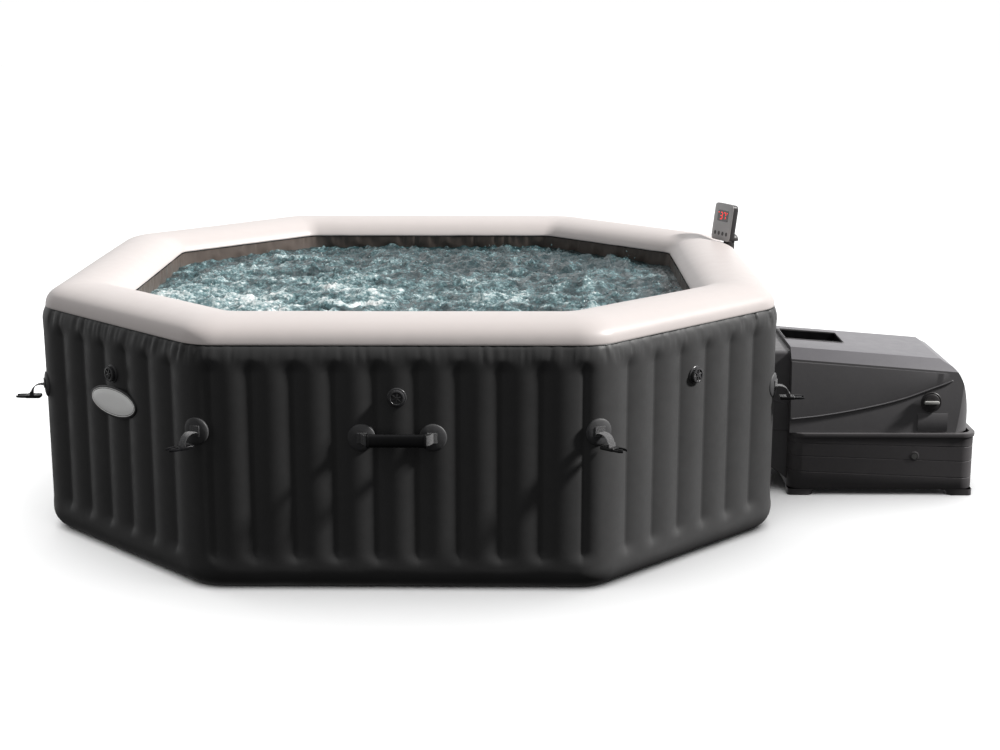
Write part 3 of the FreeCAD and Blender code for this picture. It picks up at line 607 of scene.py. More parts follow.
def make_webs():
    points, faces = [], []
    for face in range(8):
        last = IN_LASTS[face % 2]
        for k in range(int(round((last + 0.055) / PITCH))):
            for run in (0.055 + PITCH * k, -0.055 - PITCH * k):
                first = len(points)
                for inset in (0.0145, 0.2285):
                    apothem = (DIAG_APOTHEM if face % 2 else MAIN_APOTHEM) - inset
                    turn = Matrix.Rotation(face * math.pi / 4, 4, "Z")
                    for z in (0.16, 0.60):
                        for side in (-0.0003, 0.0003):
                            points.append(turn @ Vector((apothem, run + side, z)))
                a = first
                faces += [(a, a + 1, a + 3, a + 2), (a + 4, a + 6, a + 7, a + 5), (a, a + 2, a + 6, a + 4),
                          (a + 1, a + 5, a + 7, a + 3), (a, a + 4, a + 5, a + 1), (a + 2, a + 3, a + 7, a + 6)]
    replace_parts(piece("tension_webs", points, faces, WEB, slot="beam_mesh"), "tension_beams")


def make_rim():
    cols = columns(0.0, CORNER_OUT, 0.011)
    # the panel's bracket presses into the tube
    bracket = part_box("panel_bracket")
    saddle = Vector(((bracket[0][0] + bracket[1][0]) / 2, (bracket[0][1] + bracket[1][1]) / 2, 0))
    rows = []
    for inset, z in catmull(RIM_PROFILE, 3):
        radius = CORNER_OUT + (CORNER_IN - CORNER_OUT) * min(1.0, max(0.0, inset / RIM_WIDTH))
        row = []
        for f, r in cols:
            run = rescale(f, r, OUT_LINE, (inset, radius))
            at, out = point_on(f, run, inset, radius)
            crown = math.sin(math.pi * min(1.0, inset / RIM_WIDTH))
            swell = 0.0016 * crown * noise.noise(Vector((at.x * 2.6, at.y * 2.6, 0.7)))
            edge = 0.0008 * smooth(inset, 0.14, 0.235) * noise.noise(Vector((at.x * 16, at.y * 16, 3.0)))
            lap = 0.0007 * (1 - smooth(inset, 0.0, 0.03)) * noise.noise(Vector((at.x * 22, at.y * 22, 5.0)))
            reach = math.hypot(at.x - saddle.x, at.y - saddle.y) / 0.085
            pressed = PRESSED * math.exp(-reach ** 4) * crown
            row.append(at + out * lap + Vector((0, 0, z + swell + edge - pressed)))
        rows.append(row)
    points, faces = skin(rows)
    rim = piece("rim_chamber", points, faces, RIM, slot="rim_fabric")
    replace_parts(rim, "top_rim")
    seam = [point_on(f, r, 0.0, CORNER_OUT, -0.0122)[0] + Vector((0, 0, SEAM_TOP + 0.0004)) for f, r in cols]
    # a bead along the seam, coloured near black: painted shade in the crease where the wall tucks under the rim
    bead("seam_welt", seam, 0.0022, SEAM_SHADE, closed=True)


def make_bath():
    cols = columns(RIM_WIDTH, CORNER_IN, STEP)
    levels = [0.005, 0.012, 0.03, 0.055, 0.08, 0.11, 0.14, 0.20, 0.30, 0.40, 0.50, 0.56]
    levels += [0.590 + 0.008 * k for k in range(12)] + [0.6835]
    rows = []
    for z in levels:
        row = []
        for f, r in cols:
            gap = crease_gap(f, r, IN_LASTS, IN_ENDS)
            ribs = smooth(z, 0.03, 0.10) * (1 - smooth(z, 0.625, 0.668))
            push = rib_dip(gap, 0.008) * ribs
            place = point_on(f, r, *IN_LINE)[0] + Vector((0, 0, z))
            pucker = abs(noise.noise(Vector((r * 26 + f * 2.3, 1.5, z * 3.0))))
            push += 0.0030 * smooth(z, 0.640, 0.675) * max(0.0, 1 - 3.0 * pucker)
            push += 0.0010 * noise.noise(place * 4.0)
            row.append(point_on(f, r, *IN_LINE, push)[0] + Vector((0, 0, z)))
        rows.append(row)
    points, faces = skin(rows)
    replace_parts(piece("bath_wall", points, faces, BATH, angle=50, slot="bath_fabric"), "inner_wall")


def in_bath(x, y, margin=0.0):
    a, d = MAIN_APOTHEM - RIM_WIDTH + margin, DIAG_APOTHEM - RIM_WIDTH + margin
    return abs(x) < a and abs(y) < a and (abs(x) + abs(y)) / ROOT2 < d


def surface_height(x, y, boils):
    p = Vector((x, y, 0.0))
    h = 0.012 * noise.noise(p * 4.0 + Vector((1, 2, 0)))
    h += 0.013 * noise.noise(p * 11.0 + Vector((5, 1, 3)))
    ridge = 1 - abs(noise.noise(p * 17.0 + Vector((0, 4, 8)))) * 3.0
    h += 0.012 * max(0.0, ridge) ** 2
    chop = 1 - abs(noise.noise(p * 38.0 + Vector((7, 4, 2)))) * 3.2
    h += 0.006 * max(0.0, chop) ** 2
    for bx, by, size, lift in boils:
        d2 = ((x - bx) ** 2 + (y - by) ** 2) / size ** 2
        if d2 < 9:
            h += lift * math.exp(-d2) * (0.7 + 0.6 * noise.noise(p * 30.0))
    return h


def make_water():
    rng = random.Random(11)
    boils = []
    for _ in range(BOILS):
        face, share = rng.randrange(8), rng.uniform(0.05, 0.75)
        run = rng.uniform(-1, 1) * outline(*IN_LINE)[face % 2]
        at = point_on(face, run * (1 - share * 0.6), *IN_LINE)[0] * (1 - share)
        boils.append((at.x, at.y, rng.uniform(0.018, 0.06), rng.uniform(0.006, 0.026)))
    count = int(0.87 / WATER_STEP)
    index, points = {}, []
    for i in range(-count, count + 1):
        for j in range(-count, count + 1):
            x, y = i * WATER_STEP, j * WATER_STEP
            if in_bath(x, y, 0.012):
                index[i, j] = len(points)
                calm = 0.35 + 0.65 * (1 if in_bath(x, y, -0.03) else 0)
                points.append(Vector((x, y, WATER_Z + calm * surface_height(x, y, boils))))
    faces = []
    for i, j in index:
        ring = [(i, j), (i + 1, j), (i + 1, j + 1), (i, j + 1)]
        if all(k in index for k in ring):
            faces.append(tuple(index[k] for k in ring))
    surface = piece("bath_water", points, faces, WATER, slot="bath_fabric")
    bm = bmesh.new()
    bm.from_mesh(surface.data)
    if sum(f.normal.z for f in bm.faces) < 0:
        bmesh.ops.reverse_faces(bm, faces=bm.faces)
    bm.to_mesh(surface.data)
    bm.free()
    # drops thrown up over the boils
    points, faces = [], []
    for _ in range(DROPS):
        bx, by, size, _ = rng.choice(boils)
        x, y = bx + rng.gauss(0, size), by + rng.gauss(0, size)
        if not in_bath(x, y, -0.03):
            continue
        z = WATER_Z + surface_height(x, y, boils) + abs(rng.gauss(0.004, 0.016))
        r = rng.uniform(0.0012, 0.0036)
        bm = bmesh.new()
        bmesh.ops.create_icosphere(bm, subdivisions=1, radius=r)
        base = len(points)
        for v in bm.verts:
            points.append(Vector((x, y, z)) + Vector((v.co.x, v.co.y, v.co.z * rng.uniform(1.0, 1.3))))
        faces += [tuple(base + v.index for v in f.verts) for f in bm.faces]
        bm.free()
    piece("water_drops", points, faces, WATER, slot="bath_fabric")


# --- fittings on the tub --------------------------------------------------------------
def corner_geometry(corner):
    """Centre of a rounded corner's arc and the way the corner faces."""
    h = DIAG_APOTHEM * ROOT2 - MAIN_APOTHEM
    a = MAIN_APOTHEM
    x, y = [(a, -h), (a, h), (h, a), (-h, a), (-a, h), (-a, -h), (-h, -a), (h, -a)][corner]
    facing = math.radians(-22.5 + 45 * corner)
    back = CORNER_OUT / math.cos(EIGHTH)
    return Vector((x - back * math.cos(facing), y - back * math.sin(facing), 0)), facing


DOME = [(0.0, 0.0062), (0.35, 0.0060), (0.6, 0.0052), (0.8, 0.0040), (0.92, 0.0027), (0.985, 0.0014),
        (1.0, -0.0010), (0.99, -0.0060)]


def dome_patch(name, place, radius=0.037):
    """Round domed patch; place(u, v, out) gives the point on the wall."""
    count, rows = 56, []
    for share, out in DOME:
        row = []
        for i in range(count):
            turn = math.tau * i / count
            r = max(share, 0.01) * radius
            row.append(place(r * math.cos(turn), r * math.sin(turn), out))
        rows.append(row)
    return piece(name, *capped(rows, last=False), PATCH, angle=60, slot="patch_rubber")


def arc_points(centre, radius, start, end, count):
    """Points of an arc in the local XZ plane, angles in degrees."""
    return [Vector((centre[0] + radius * math.cos(math.radians(start + (end - start) * k / count)), 0,
                    centre[1] + radius * math.sin(math.radians(start + (end - start) * k / count))))
            for k in range(count + 1)]


def buckle_mesh(matrix):
    """Flat snap buckle: a slotted body, two sprung arms and a middle prong."""
    half = 0.017
    body = rounded_rect(0.008, 0.052, -half, half, 0.005)
    plate = prism_mesh(body, 0.009, 0.0016, 3)
    slots = [shifted(prism_mesh(rounded_rect(x0, x1, -0.0145, 0.0145, radius), 0.03), z=-0.01)
             for x0, x1, radius in ((0.028, 0.033, 0.002), (0.0375, 0.0415, 0.0018))]
    parts = [boolean(plate, slots, "DIFFERENCE")]
    for side in (-1, 1):
        arm = [(0.050, 0.0165), (0.058, 0.0168), (0.066, 0.0165), (0.073, 0.0150), (0.0785, 0.0120),
               (0.0815, 0.0085), (0.0800, 0.0070), (0.0765, 0.0098), (0.0715, 0.0116), (0.064, 0.0122),
               (0.058, 0.0120), (0.050, 0.0112)]
        parts.append(shifted(prism_mesh([(x, side * y) for x, y in arm], 0.0065, 0.0012, 2), z=0.0012))
    prong = prism_mesh(rounded_rect(0.050, 0.0735, -0.0032, 0.0032, 0.0030), 0.0055, 0.0010, 2)
    parts.append(shifted(prong, z=0.0017))
    for x in (0.0125, 0.0185, 0.0460):
        rib = prism_mesh(rounded_rect(x, x + 0.0022, -0.0125, 0.0125, 0.0010), 0.0016, 0.0006, 1)
        parts.append(shifted(rib, z=0.0086))
    mesh = joined("buckle", parts)
    mesh.transform(matrix @ Matrix.Translation((0, 0, -0.0405)))
    return mesh


def make_clips():
    path = [Vector((-0.004, 0, -0.001)), Vector((0, 0, 0)), Vector((0.004, 0, 0.0006)), Vector((0.008, 0, 0))]
    path += arc_points((0.008, -0.026), 0.026, 90, 0, 12)[1:]
    path += [Vector((0.0340, 0, -0.031)), Vector((0.0335, 0, -0.036)), Vector((0.0355, 0, -0.0395)),
             Vector((0.0385, 0, -0.0385)), Vector((0.0392, 0, -0.034)), Vector((0.0375, 0, -0.0295)),
             Vector((0.0370, 0, -0.022))]
    for name, (corner, heading) in CLIPS.items():
        centre, facing = corner_geometry(corner)

        def wrap(u, v, out):
            turn = facing + u / CORNER_OUT
            r = CORNER_OUT + out
            return centre + Vector((r * math.cos(turn), r * math.sin(turn), CLIP_Z + v))

        dome_patch("patch_" + name, wrap)
        # the strap's sewn end lies on the patch
        pad_rows = []
        for v in (-0.012, -0.0115, -0.004, 0.004, 0.012, 0.016, 0.0165):
            out = 0.0042 if v in (-0.012, 0.0165) else 0.0078
            pad_rows.append([wrap(u, v, out if abs(u) < 0.0140 else 0.0042)
                             for u in (-0.0142, -0.0138, -0.007, 0, 0.007, 0.0138, 0.0142)])
        points, faces = skin(pad_rows, wrap_u=False)
        uvs = [(i % 7 * 0.05, i // 7 * 0.05) for i in range(len(points))]
        piece("sewn_end_" + name, points, faces, STRAP, angle=60, slot="webbing", uvs=uvs)
        root = centre + Vector((math.cos(facing), math.sin(facing), 0)) * (CORNER_OUT + 0.010)
        matrix = frame_at(root + Vector((0, 0, CLIP_Z)), heading)
        body = "clip_" + name
        strap = ribbon("strap_" + name, path, 0.028, 0.0023, STRAP, body, matrix=matrix)
        buckle = piece_from_mesh("buckle_" + name, buckle_mesh(matrix), BLACK, body, 30)
        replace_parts(strap, "cover_clip_" + name)
        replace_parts(buckle, "cover_clip_" + name)


def make_handle():
    matrix = frame_at(Vector((0, -MAIN_APOTHEM, HANDLE_Z)), -90)
    for side, name in ((-1, "left"), (1, "right")):
        def flat(u, v, out):
            return matrix @ Vector((out, side * 0.095 + u, v))
        dome_patch("patch_handle_" + name, flat)
        rows = [[flat(u, v, (0.0078 if abs(v) < 0.0138 and abs(u + side * 0.001) < 0.0155 else 0.0042))
                 for u in (-0.016, -0.0155, -0.008, 0, 0.008, 0.0155, 0.016)]
                for v in (-0.0142, -0.0136, -0.005, 0.005, 0.0136, 0.0142)]
        points, faces = skin(rows, wrap_u=False)
        uvs = [(i % 7 * 0.05, i // 7 * 0.05) for i in range(len(points))]
        piece("sewn_end_handle_" + name, points, faces, STRAP, angle=60, slot="webbing", uvs=uvs)
    half = [Vector((0.0075, 0.0955, 0)), Vector((0.0100, 0.0945, 0)), Vector((0.0150, 0.0925, 0)),
            Vector((0.0230, 0.0895, 0)), Vector((0.0300, 0.0862, 0)), Vector((0.0338, 0.0820, 0)),
            Vector((0.0345, 0.0760, 0)), Vector((0.0345, 0.0400, 0))]
    path = [Vector((p.x, -p.y, p.z)) for p in half] + [Vector((0.0345, 0, 0))] + half[::-1]
    strap = ribbon("carry_strap", path, 0.028, 0.0024, STRAP, None, across=Vector((0, 0, 1)), matrix=matrix)
    # sewn down at the patches, free at the grip
    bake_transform(strap)
    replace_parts(strap, "handle_strap")
    # moulded grip: soft square section with end flanges and finger grooves
    rows = []
    stations = [-0.0790, -0.0787, -0.0770, -0.0745, -0.0735, -0.0700]
    stations += [-0.066 + 0.006 * k for k in range(23)] + [0.0700, 0.0735, 0.0745, 0.0770, 0.0787, 0.0790]
    for y in stations:
        edge = abs(y)
        swell = 1.0 if edge > 0.0738 else 0.90
        if edge > 0.0785:
            swell = 0.94
        if edge < 0.062:
            swell = 0.885 + 0.022 * math.cos(y / 0.012 * math.pi * 2)
        row = []
        for k in range(28):
            turn = math.tau * k / 28
            c, s = math.cos(turn), math.sin(turn)
            row.append(matrix @ Vector((0.0345 + math.copysign(abs(c) ** 0.6, c) * 0.0085 * swell, y,
                                        math.copysign(abs(s) ** 0.6, s) * 0.020 * swell)))
        rows.append(row)
    grip = piece("carry_grip", *capped(rows), BLACK, "carry_handle", 40, "black_plastic")
    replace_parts(grip, "handle_grip")


def make_valves():
    first = None
    for name, heading in VALVES.items():
        apothem = DIAG_APOTHEM if heading % 90 else MAIN_APOTHEM
        out = Vector((math.cos(math.radians(heading)), math.sin(math.radians(heading)), 0))
        matrix = frame_at(out * apothem + Vector((0, 0, VALVE_Z)), heading)
        seat = lathe("valve_flange_" + name,
                     [(0.0120, -0.020), (0.0258, -0.012), (0.0262, 0.0006), (0.0255, 0.0018), (0.0240, 0.0026),
                      (0.0228, 0.0022), (0.0216, 0.0029), (0.0100, 0.0029)], matrix, VALVE, count=72)
        first = first or seat

        def serrated(turn, radius, distance):
            if radius < 0.0195 or not 0.0035 < distance < 0.0112:
                return 0.0
            return -0.0012 * (0.5 - 0.5 * math.cos(turn * 20)) ** 2

        cap = lathe("valve_knob_" + name,
                    [(0.0080, 0.0032), (0.0205, 0.0034), (0.0214, 0.0042), (0.0215, 0.0100), (0.0208, 0.0112),
                     (0.0194, 0.0118), (0.0168, 0.0119), (0.0158, 0.0112), (0.0150, 0.0092), (0.0110, 0.0086),
                     (0.0060, 0.0084)], matrix, VALVE, "valve_cap_" + name, 160, serrated)
        spokes = []
        for k in range(3):
            rib = prism_mesh(rounded_rect(-0.0150, 0.0150, -0.0019, 0.0019, 0.0018, 3), 0.0034, 0.0008, 2)
            rib.transform(matrix @ Matrix.Translation((0.0080, 0, 0))
                          @ Matrix.Rotation(math.radians(60 * k + 20), 4, "X")
                          @ Matrix.Rotation(math.pi / 2, 4, "Y") @ Matrix.Rotation(math.pi / 2, 4, "Z"))
            spokes.append(rib)
        piece_from_mesh("valve_spokes_" + name, joined("spokes", spokes), VALVE, "valve_cap_" + name, 30)
        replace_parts(cap, "valve_cap_" + name)
    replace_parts(first, "valve_seats", "strap_patches")


def make_badge():
    out = Vector((-1, -1, 0)).normalized()
    matrix = frame_at(out * DIAG_APOTHEM + Vector((0, 0, BADGE_Z)), -135)

    def oval(name, a, b, profile, material):
        rows = []
        for shrink, distance in profile:
            rows.append([matrix @ Vector((distance, (a - shrink) * math.cos(math.tau * i / 96),
                                          (b - shrink) * math.sin(math.tau * i / 96))) for i in range(96)])
        return piece(name, *capped(rows, first=False), material, angle=40, slot="badge_plastic")

    border = oval("badge_border", 0.1180, 0.0450,
                  [(0.001, -0.012), (0.0, 0.0004), (0.0008, 0.0018), (0.0022, 0.0024), (0.0062, 0.0024),
                   (0.0066, 0.0014)], DARK_LINE)
    oval("badge_ring", 0.1100, 0.0390, [(0.0, 0.0010), (0.0004, 0.0026), (0.0012, 0.0030), (0.0024, 0.0026),
                                        (0.0026, 0.0018)], BADGE)
    oval("badge_groove", 0.1072, 0.0366, [(0.0, 0.0008), (0.0002, 0.0019), (0.0020, 0.0019)], DARK_LINE)
    oval("badge_face", 0.1056, 0.0352, [(0.0, 0.0010), (0.0004, 0.0026), (0.0014, 0.0031), (0.0200, 0.0036),
                                        (0.0300, 0.0037)], BADGE)
    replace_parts(border, "oval_badge")


# --- base unit ---------------------------------------------------------------------------
def fall(x):
    return 0.048 * (x - BASE_X0) / 0.600


def cover_mesh(inset, width=0.0):
    left, right = BASE_Y - 0.218 + inset, BASE_Y + 0.218 - inset
    section = [(left, 0.200), (left + 0.018, 0.443), (left + 0.048, 0.477 - inset),
               (right - 0.048, 0.477 - inset), (right - 0.018, 0.443), (right, 0.200)]
    start = BASE_X0 + inset
    shift = Vector((0.620, 0, -0.0496))
    bm = bmesh.new()
    near = [bm.verts.new((start, y, z)) for y, z in section]
    far = [bm.verts.new(Vector((start, y, z)) + shift) for y, z in section]
    bm.faces.new(near)
    bm.faces.new(far)
    for i in range(6):
        k = (i + 1) % 6
        bm.faces.new((near[i], near[k], far[k], far[i]))
    bmesh.ops.recalc_face_normals(bm, faces=bm.faces)
    roof = mesh_of(bm, "roof")
    curve = catmull([(1.768, 0.150), (1.768, 0.206), (1.763, 0.270), (1.750, 0.335), (1.733, 0.382),
                     (1.710, 0.413), (1.678, 0.432), (1.620, 0.475)], 5)
    side = [(start, 0.150)] + [(x - inset, z) for x, z in curve] + [(start, 0.520)]
    nose = prism_mesh(side, 0.6)
    nose.transform(Matrix.Translation((0, 0.3 + BASE_Y, 0)) @ Matrix.Rotation(math.pi / 2, 4, "X"))
    plan = rounded_rect(start - 0.1, 1.768 - inset, left, right, 0.070, 12)
    block = prism_mesh(plan, 0.5)
    block.transform(Matrix.Translation((0, 0, 0.100)))
    box = prism_mesh([(start, -1), (3, -1), (3, 1), (start, 1)], 0.6)
    base = prism_mesh([(start - 0.01, -1), (3, -1), (3, 1), (start - 0.01, 1)], 0.6)
    base.transform(Matrix.Translation((0, 0, 0.206)))
    mesh = boolean(roof, [nose, block, box, base], "INTERSECT")
    bm = bmesh.new()
    bm.from_mesh(mesh)
    bmesh.ops.remove_doubles(bm, verts=bm.verts, dist=0.00005)
    bmesh.ops.dissolve_limit(bm, angle_limit=math.radians(0.6), verts=bm.verts, edges=bm.edges)
    if width:
        bevelled(bm, width, 4, 15, keep=lambda e: min(v.co.z for v in e.verts) > 0.2075
                 or max(v.co.z for v in e.verts) > 0.2075 and min(v.co.x for v in e.verts) > BASE_X0 + 0.02)
    bm.to_mesh(mesh)
    bm.free()
    return mesh


def make_cover():
    outer = cover_mesh(0.0, 0.006)
    hollow = cover_mesh(0.003)
    cuts = [hollow]
    for x0, x1, y0, y1, z0, z1 in ((1.180, 1.196, -0.147, 0.207, 0.150, 0.447),
                                   (1.196, 1.384, -0.009, 0.149, 0.400, 0.520)):
        mesh = prism_mesh(rounded_rect(x0, x1, y0, y1, 0.006, 3), z1 - z0)
        mesh.transform(Matrix.Translation((0, 0, z0)))
        cuts.append(mesh)
    hollow.transform(Matrix.Translation((0, 0, -0.0004)))
    cover = boolean(outer, cuts, "DIFFERENCE")
    obj = piece_from_mesh("cover_shell", cover, COVER_LIT, "tub", 30)
    obj.data.materials.append(COVER_SHADE)
    # faces that turn away from the sky take the darker copy: painted shade on the cover's sides
    for polygon in obj.data.polygons:
        if polygon.normal.z < 0.45:
            polygon.material_index = 1
    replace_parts(obj, "base_cover")
    make_swoosh()
    make_recess_lip()


def side_y(x, z, out=0.0):
    """The near side of the cover, moved out."""
    return BASE_Y - 0.218 + 0.018 * (z + fall(x) - 0.206) / 0.237 - out


SWOOSH = [(1.192, 0.2500), (1.240, 0.2550), (1.290, 0.2610), (1.380, 0.2760), (1.480, 0.2970),
          (1.560, 0.3190), (1.630, 0.3450), (1.680, 0.3630), (1.705, 0.3740)]


def make_swoosh():
    """Upper side panel whose lower edge sweeps up towards the nose, on both sides."""
    line = catmull(SWOOSH, 5)
    for mirror, name in ((1, "front"), (-1, "back")):
        rows = []
        for share, out in ((0.0, -0.001), (0.0, 0.0012), (0.012, 0.0019), (0.03, 0.0020), (0.97, 0.0018),
                           (0.99, 0.0012), (1.0, -0.001)):
            row = []
            for x, z in line:
                top = 0.441 - fall(x) - 0.004
                high = z + (top - z) * share
                taper = smooth(1.712 - x, 0.0, 0.05)
                y = side_y(x, high, out * taper - 0.0008 * (1 - taper))
                row.append(Vector((x, y if mirror > 0 else 2 * BASE_Y - y, high)))
            rows.append(row)
        points, faces = skin(rows, wrap_u=False)
        # the side panel takes the darker copy of the cover plastic: painted shade
        piece("side_panel_" + name, points, faces, COVER_SHADE, angle=30, slot="cover_plastic")
        path = []
        for x, z in line:
            y = side_y(x, z, 0.0010)
            path.append(Vector((x, y if mirror > 0 else 2 * BASE_Y - y, z)))
        # the crease line is coloured lighter than the panel: painted highlight where its shoulder faces the light
        bead("side_line_" + name, path, 0.0030, COVER_LINE_HIGHLIGHT, sides=10)


def make_recess_lip():
    """Raised lip round the recess in the cover's top."""
    outline_points = rounded_rect(1.194, 1.386, -0.011, 0.151, 0.008, 4)
    path = [Vector((x, y, 0.4772 - fall(x) + 0.0)) for x, y in outline_points]
    # the lip takes the darker side copy of the cover plastic: painted shade round the recess
    bead("recess_lip", path, 0.0022, COVER_SHADE, closed=True)


def tray_ring(inset, z_left, z_right, x0=BASE_X0):
    radius = max(0.010, 0.045 - inset)
    ring = rounded_rect(x0 + max(0.0, inset), BASE_X1 - inset, BASE_Y - BASE_HALF + inset,
                        BASE_Y + BASE_HALF - inset, radius, 8)
    return [Vector((x, y, z_left + (z_right - z_left) * (x - BASE_X0) / (BASE_X1 - BASE_X0))) for x, y in ring]


def make_tray():
    def groove(left, right, depth=0.0014, half=0.0018):
        return [(0, left - half, right - half), (depth, left - half * 0.5, right - half * 0.5),
                (depth, left + half * 0.5, right + half * 0.5), (0, left + half, right + half)]
    levels = [(0.006, 0.0200, 0.0200), (0.0015, 0.0212, 0.0212), (0, 0.0240, 0.0240)]
    levels += groove(0.082, 0.057) + groove(0.132, 0.112) + groove(0.174, 0.160)
    levels += [(0, 0.1895, 0.1895), (-0.0012, 0.1915, 0.1915), (-0.0036, 0.1925, 0.1925),
               (-0.0040, 0.1945, 0.1945), (-0.0040, 0.2030, 0.2030), (-0.0032, 0.2052, 0.2052),
               (-0.0015, 0.2060, 0.2060), (0.0140, 0.2060, 0.2060), (0.0140, 0.1930, 0.1930),
               (0.0040, 0.1900, 0.1900), (0.0040, 0.0240, 0.0240)]
    rows = [tray_ring(*level) for level in levels]
    tray = piece("tray_body", *capped(rows), TRAY, angle=35, slot="tray_plastic")
    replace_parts(tray, "base_tray")
    # moulded feet at the corners, flared into the tray's bottom edge
    points, faces = [], []
    for cx in (BASE_X0 + 0.0325, BASE_X1 - 0.035):
        for cy in (BASE_Y - BASE_HALF + 0.030, BASE_Y + BASE_HALF - 0.030):
            rows = []
            for grow, z in ((-0.003, 0.0), (-0.0005, 0.002), (0.0, 0.006), (0.002, 0.012), (0.007, 0.017),
                            (0.016, 0.0205)):
                near, far = (0.0325, 0.048 + 1.8 * grow) if cx < BASE_X0 + 0.1 else (0.048 + 1.8 * grow, 0.0325)
                x0, x1 = cx - near, cx + far
                y0, y1 = cy - 0.030 - grow, cy + 0.030 + grow
                x0, x1 = max(x0, BASE_X0 + 0.001), min(x1, BASE_X1 - 0.001)
                y0 = max(y0, BASE_Y - BASE_HALF + 0.001)
                y1 = min(y1, BASE_Y + BASE_HALF - 0.001)
                rows.append([Vector((x, y, z)) for x, y in rounded_rect(x0, x1, y0, y1, 0.014, 4)])
            p, f = capped(rows, last=False)
            faces += [tuple(len(points) + i for i in face) for face in f]
            points += p
    piece("tray_feet", points, faces, TRAY, angle=40, slot="tray_plastic")
    # boss round the screw in the near side
    for k, (x, y, side) in enumerate(((1.590, BASE_Y - BASE_HALF, -1), (1.350, BASE_Y + BASE_HALF, 1),
                                      (1.670, BASE_Y + BASE_HALF, 1))):
        matrix = frame_at(Vector((x, y, 0.131)), 90 * side)
        lathe("screw_boss_%d" % (k + 1), [(0.0155, -0.002), (0.0152, 0.0010), (0.0140, 0.0018), (0.0110, 0.0018),
                                          (0.0100, 0.0006)], matrix, TRAY, count=40)


def make_hood():
    x0, x1 = 1.081, 1.1905
    low, high = -0.150, 0.210
    bm = bmesh.new()
    outline_points = [(x0, 0.127), (x1, 0.044), (x1, 0.465), (x0, 0.465)]
    near = [bm.verts.new((x, low, z)) for x, z in outline_points]
    far = [bm.verts.new((x, high, z)) for x, z in outline_points]
    bm.faces.new(near)
    bm.faces.new(far)
    for i in range(4):
        k = (i + 1) % 4
        bm.faces.new((near[i], near[k], far[k], far[i]))
    bmesh.ops.recalc_face_normals(bm, faces=bm.faces)
    bevelled(bm, 0.012, 5, 28, keep=lambda e: abs(e.verts[0].co.x - e.verts[1].co.x) > 0.05
             and max(v.co.z for v in e.verts) > 0.3)
    # the hood takes the darker side copy of the cover plastic all over: painted shade
    hood = piece_from_mesh("hood_shell", mesh_of(bm, "hood"), COVER_SHADE, "tub", 30)
    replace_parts(hood, "connection_hood")
    for side, name in ((-1, "front"), (1, "back")):
        y = (low if side < 0 else high) + side * 0.0004
        curve = catmull([(1.086, 0.345), (1.115, 0.322), (1.150, 0.302), (1.189, 0.290)], 6)
        # the lines take the lighter top copy of the cover plastic: painted highlight on the hood's side
        bead("hood_line_" + name, [Vector((x, y, z)) for x, z in curve], 0.0014, COVER_LIT, sides=8)
        flat = [Vector((1.084 + 0.0105 * k, y, 0.205)) for k in range(11)]
        bead("hood_joint_" + name, flat, 0.0012, TRAY, sides=8)


def make_knob():
    x, z = KNOB
    matrix = frame_at(Vector((x, -0.1815, z)), -90)
    knob = lathe("knob_disc", [(0.0100, 0.0), (0.0322, 0.0), (0.0330, 0.0010), (0.0330, 0.0040), (0.0318, 0.0052),
                               (0.0290, 0.0056), (0.0272, 0.0052), (0.0262, 0.0060), (0.0258, 0.0076),
                               (0.0245, 0.0082), (0.0100, 0.0082)], matrix, HOUSING, "service_knob", 72)
    bar = prism_mesh(rounded_rect(-0.0240, 0.0240, -0.0052, 0.0052, 0.0050, 6), 0.0085, 0.0018, 3)
    bar.transform(matrix @ Matrix.Translation((0.0076, 0, 0)) @ Matrix.Rotation(math.pi / 2, 4, "Y")
                  @ Matrix.Rotation(math.pi / 2, 4, "Z"))
    # the bar is coloured pale grey: painted highlight along the knob's wing
    piece_from_mesh("knob_bar", bar, INNER, "service_knob", 30)
    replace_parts(knob, "service_knob")
    # raised panel on the cover under the knob, fallen in with the side's slope
    rows = []
    for share, out in ((0.0, -0.001), (0.0, 0.0014), (0.03, 0.0022), (0.97, 0.0022), (1.0, 0.0014), (1.0, -0.001)):
        low, high = 0.212 + 0.056 * share, 0.212 + 0.056 * share
        row = []
        for k, across in enumerate((1.597, 1.5975, 1.599, 1.620, 1.645, 1.670, 1.691, 1.6925, 1.693)):
            edge = -0.001 if k in (0, 8) else out
            row.append(Vector((across, side_y(across, low, edge), high)))
        rows.append(row)
    points, faces = skin(rows, wrap_u=False)
    # the panel takes the darker side copy of the cover plastic: painted shade
    piece("knob_panel", points, faces, COVER_SHADE, angle=30, slot="cover_plastic")


# --- control panel -----------------------------------------------------------------------
PANEL = (Matrix.Translation((1.035, 0.450, 0.795)) @ Matrix.Rotation(math.radians(-65), 4, "Z")
         @ Matrix.Rotation(math.radians(-8), 4, "X"))
# the panel's face lies in local XZ and looks along local -Y
FACE = PANEL @ Matrix.Rotation(math.pi / 2, 4, "X")
BUTTONS, BUTTON_ROW = (-0.036, -0.012, 0.012, 0.036), -0.040


def on_face(mesh, height=0.0):
    """Put a mesh drawn in XY, rising along Z, on the panel's face."""
    mesh.transform(FACE @ Matrix.Translation((0, 0, height)))
    return mesh


DIGITS = {"3": "abgcd", "7": "abc"}      # lit segments, a to g clockwise from the top, g across


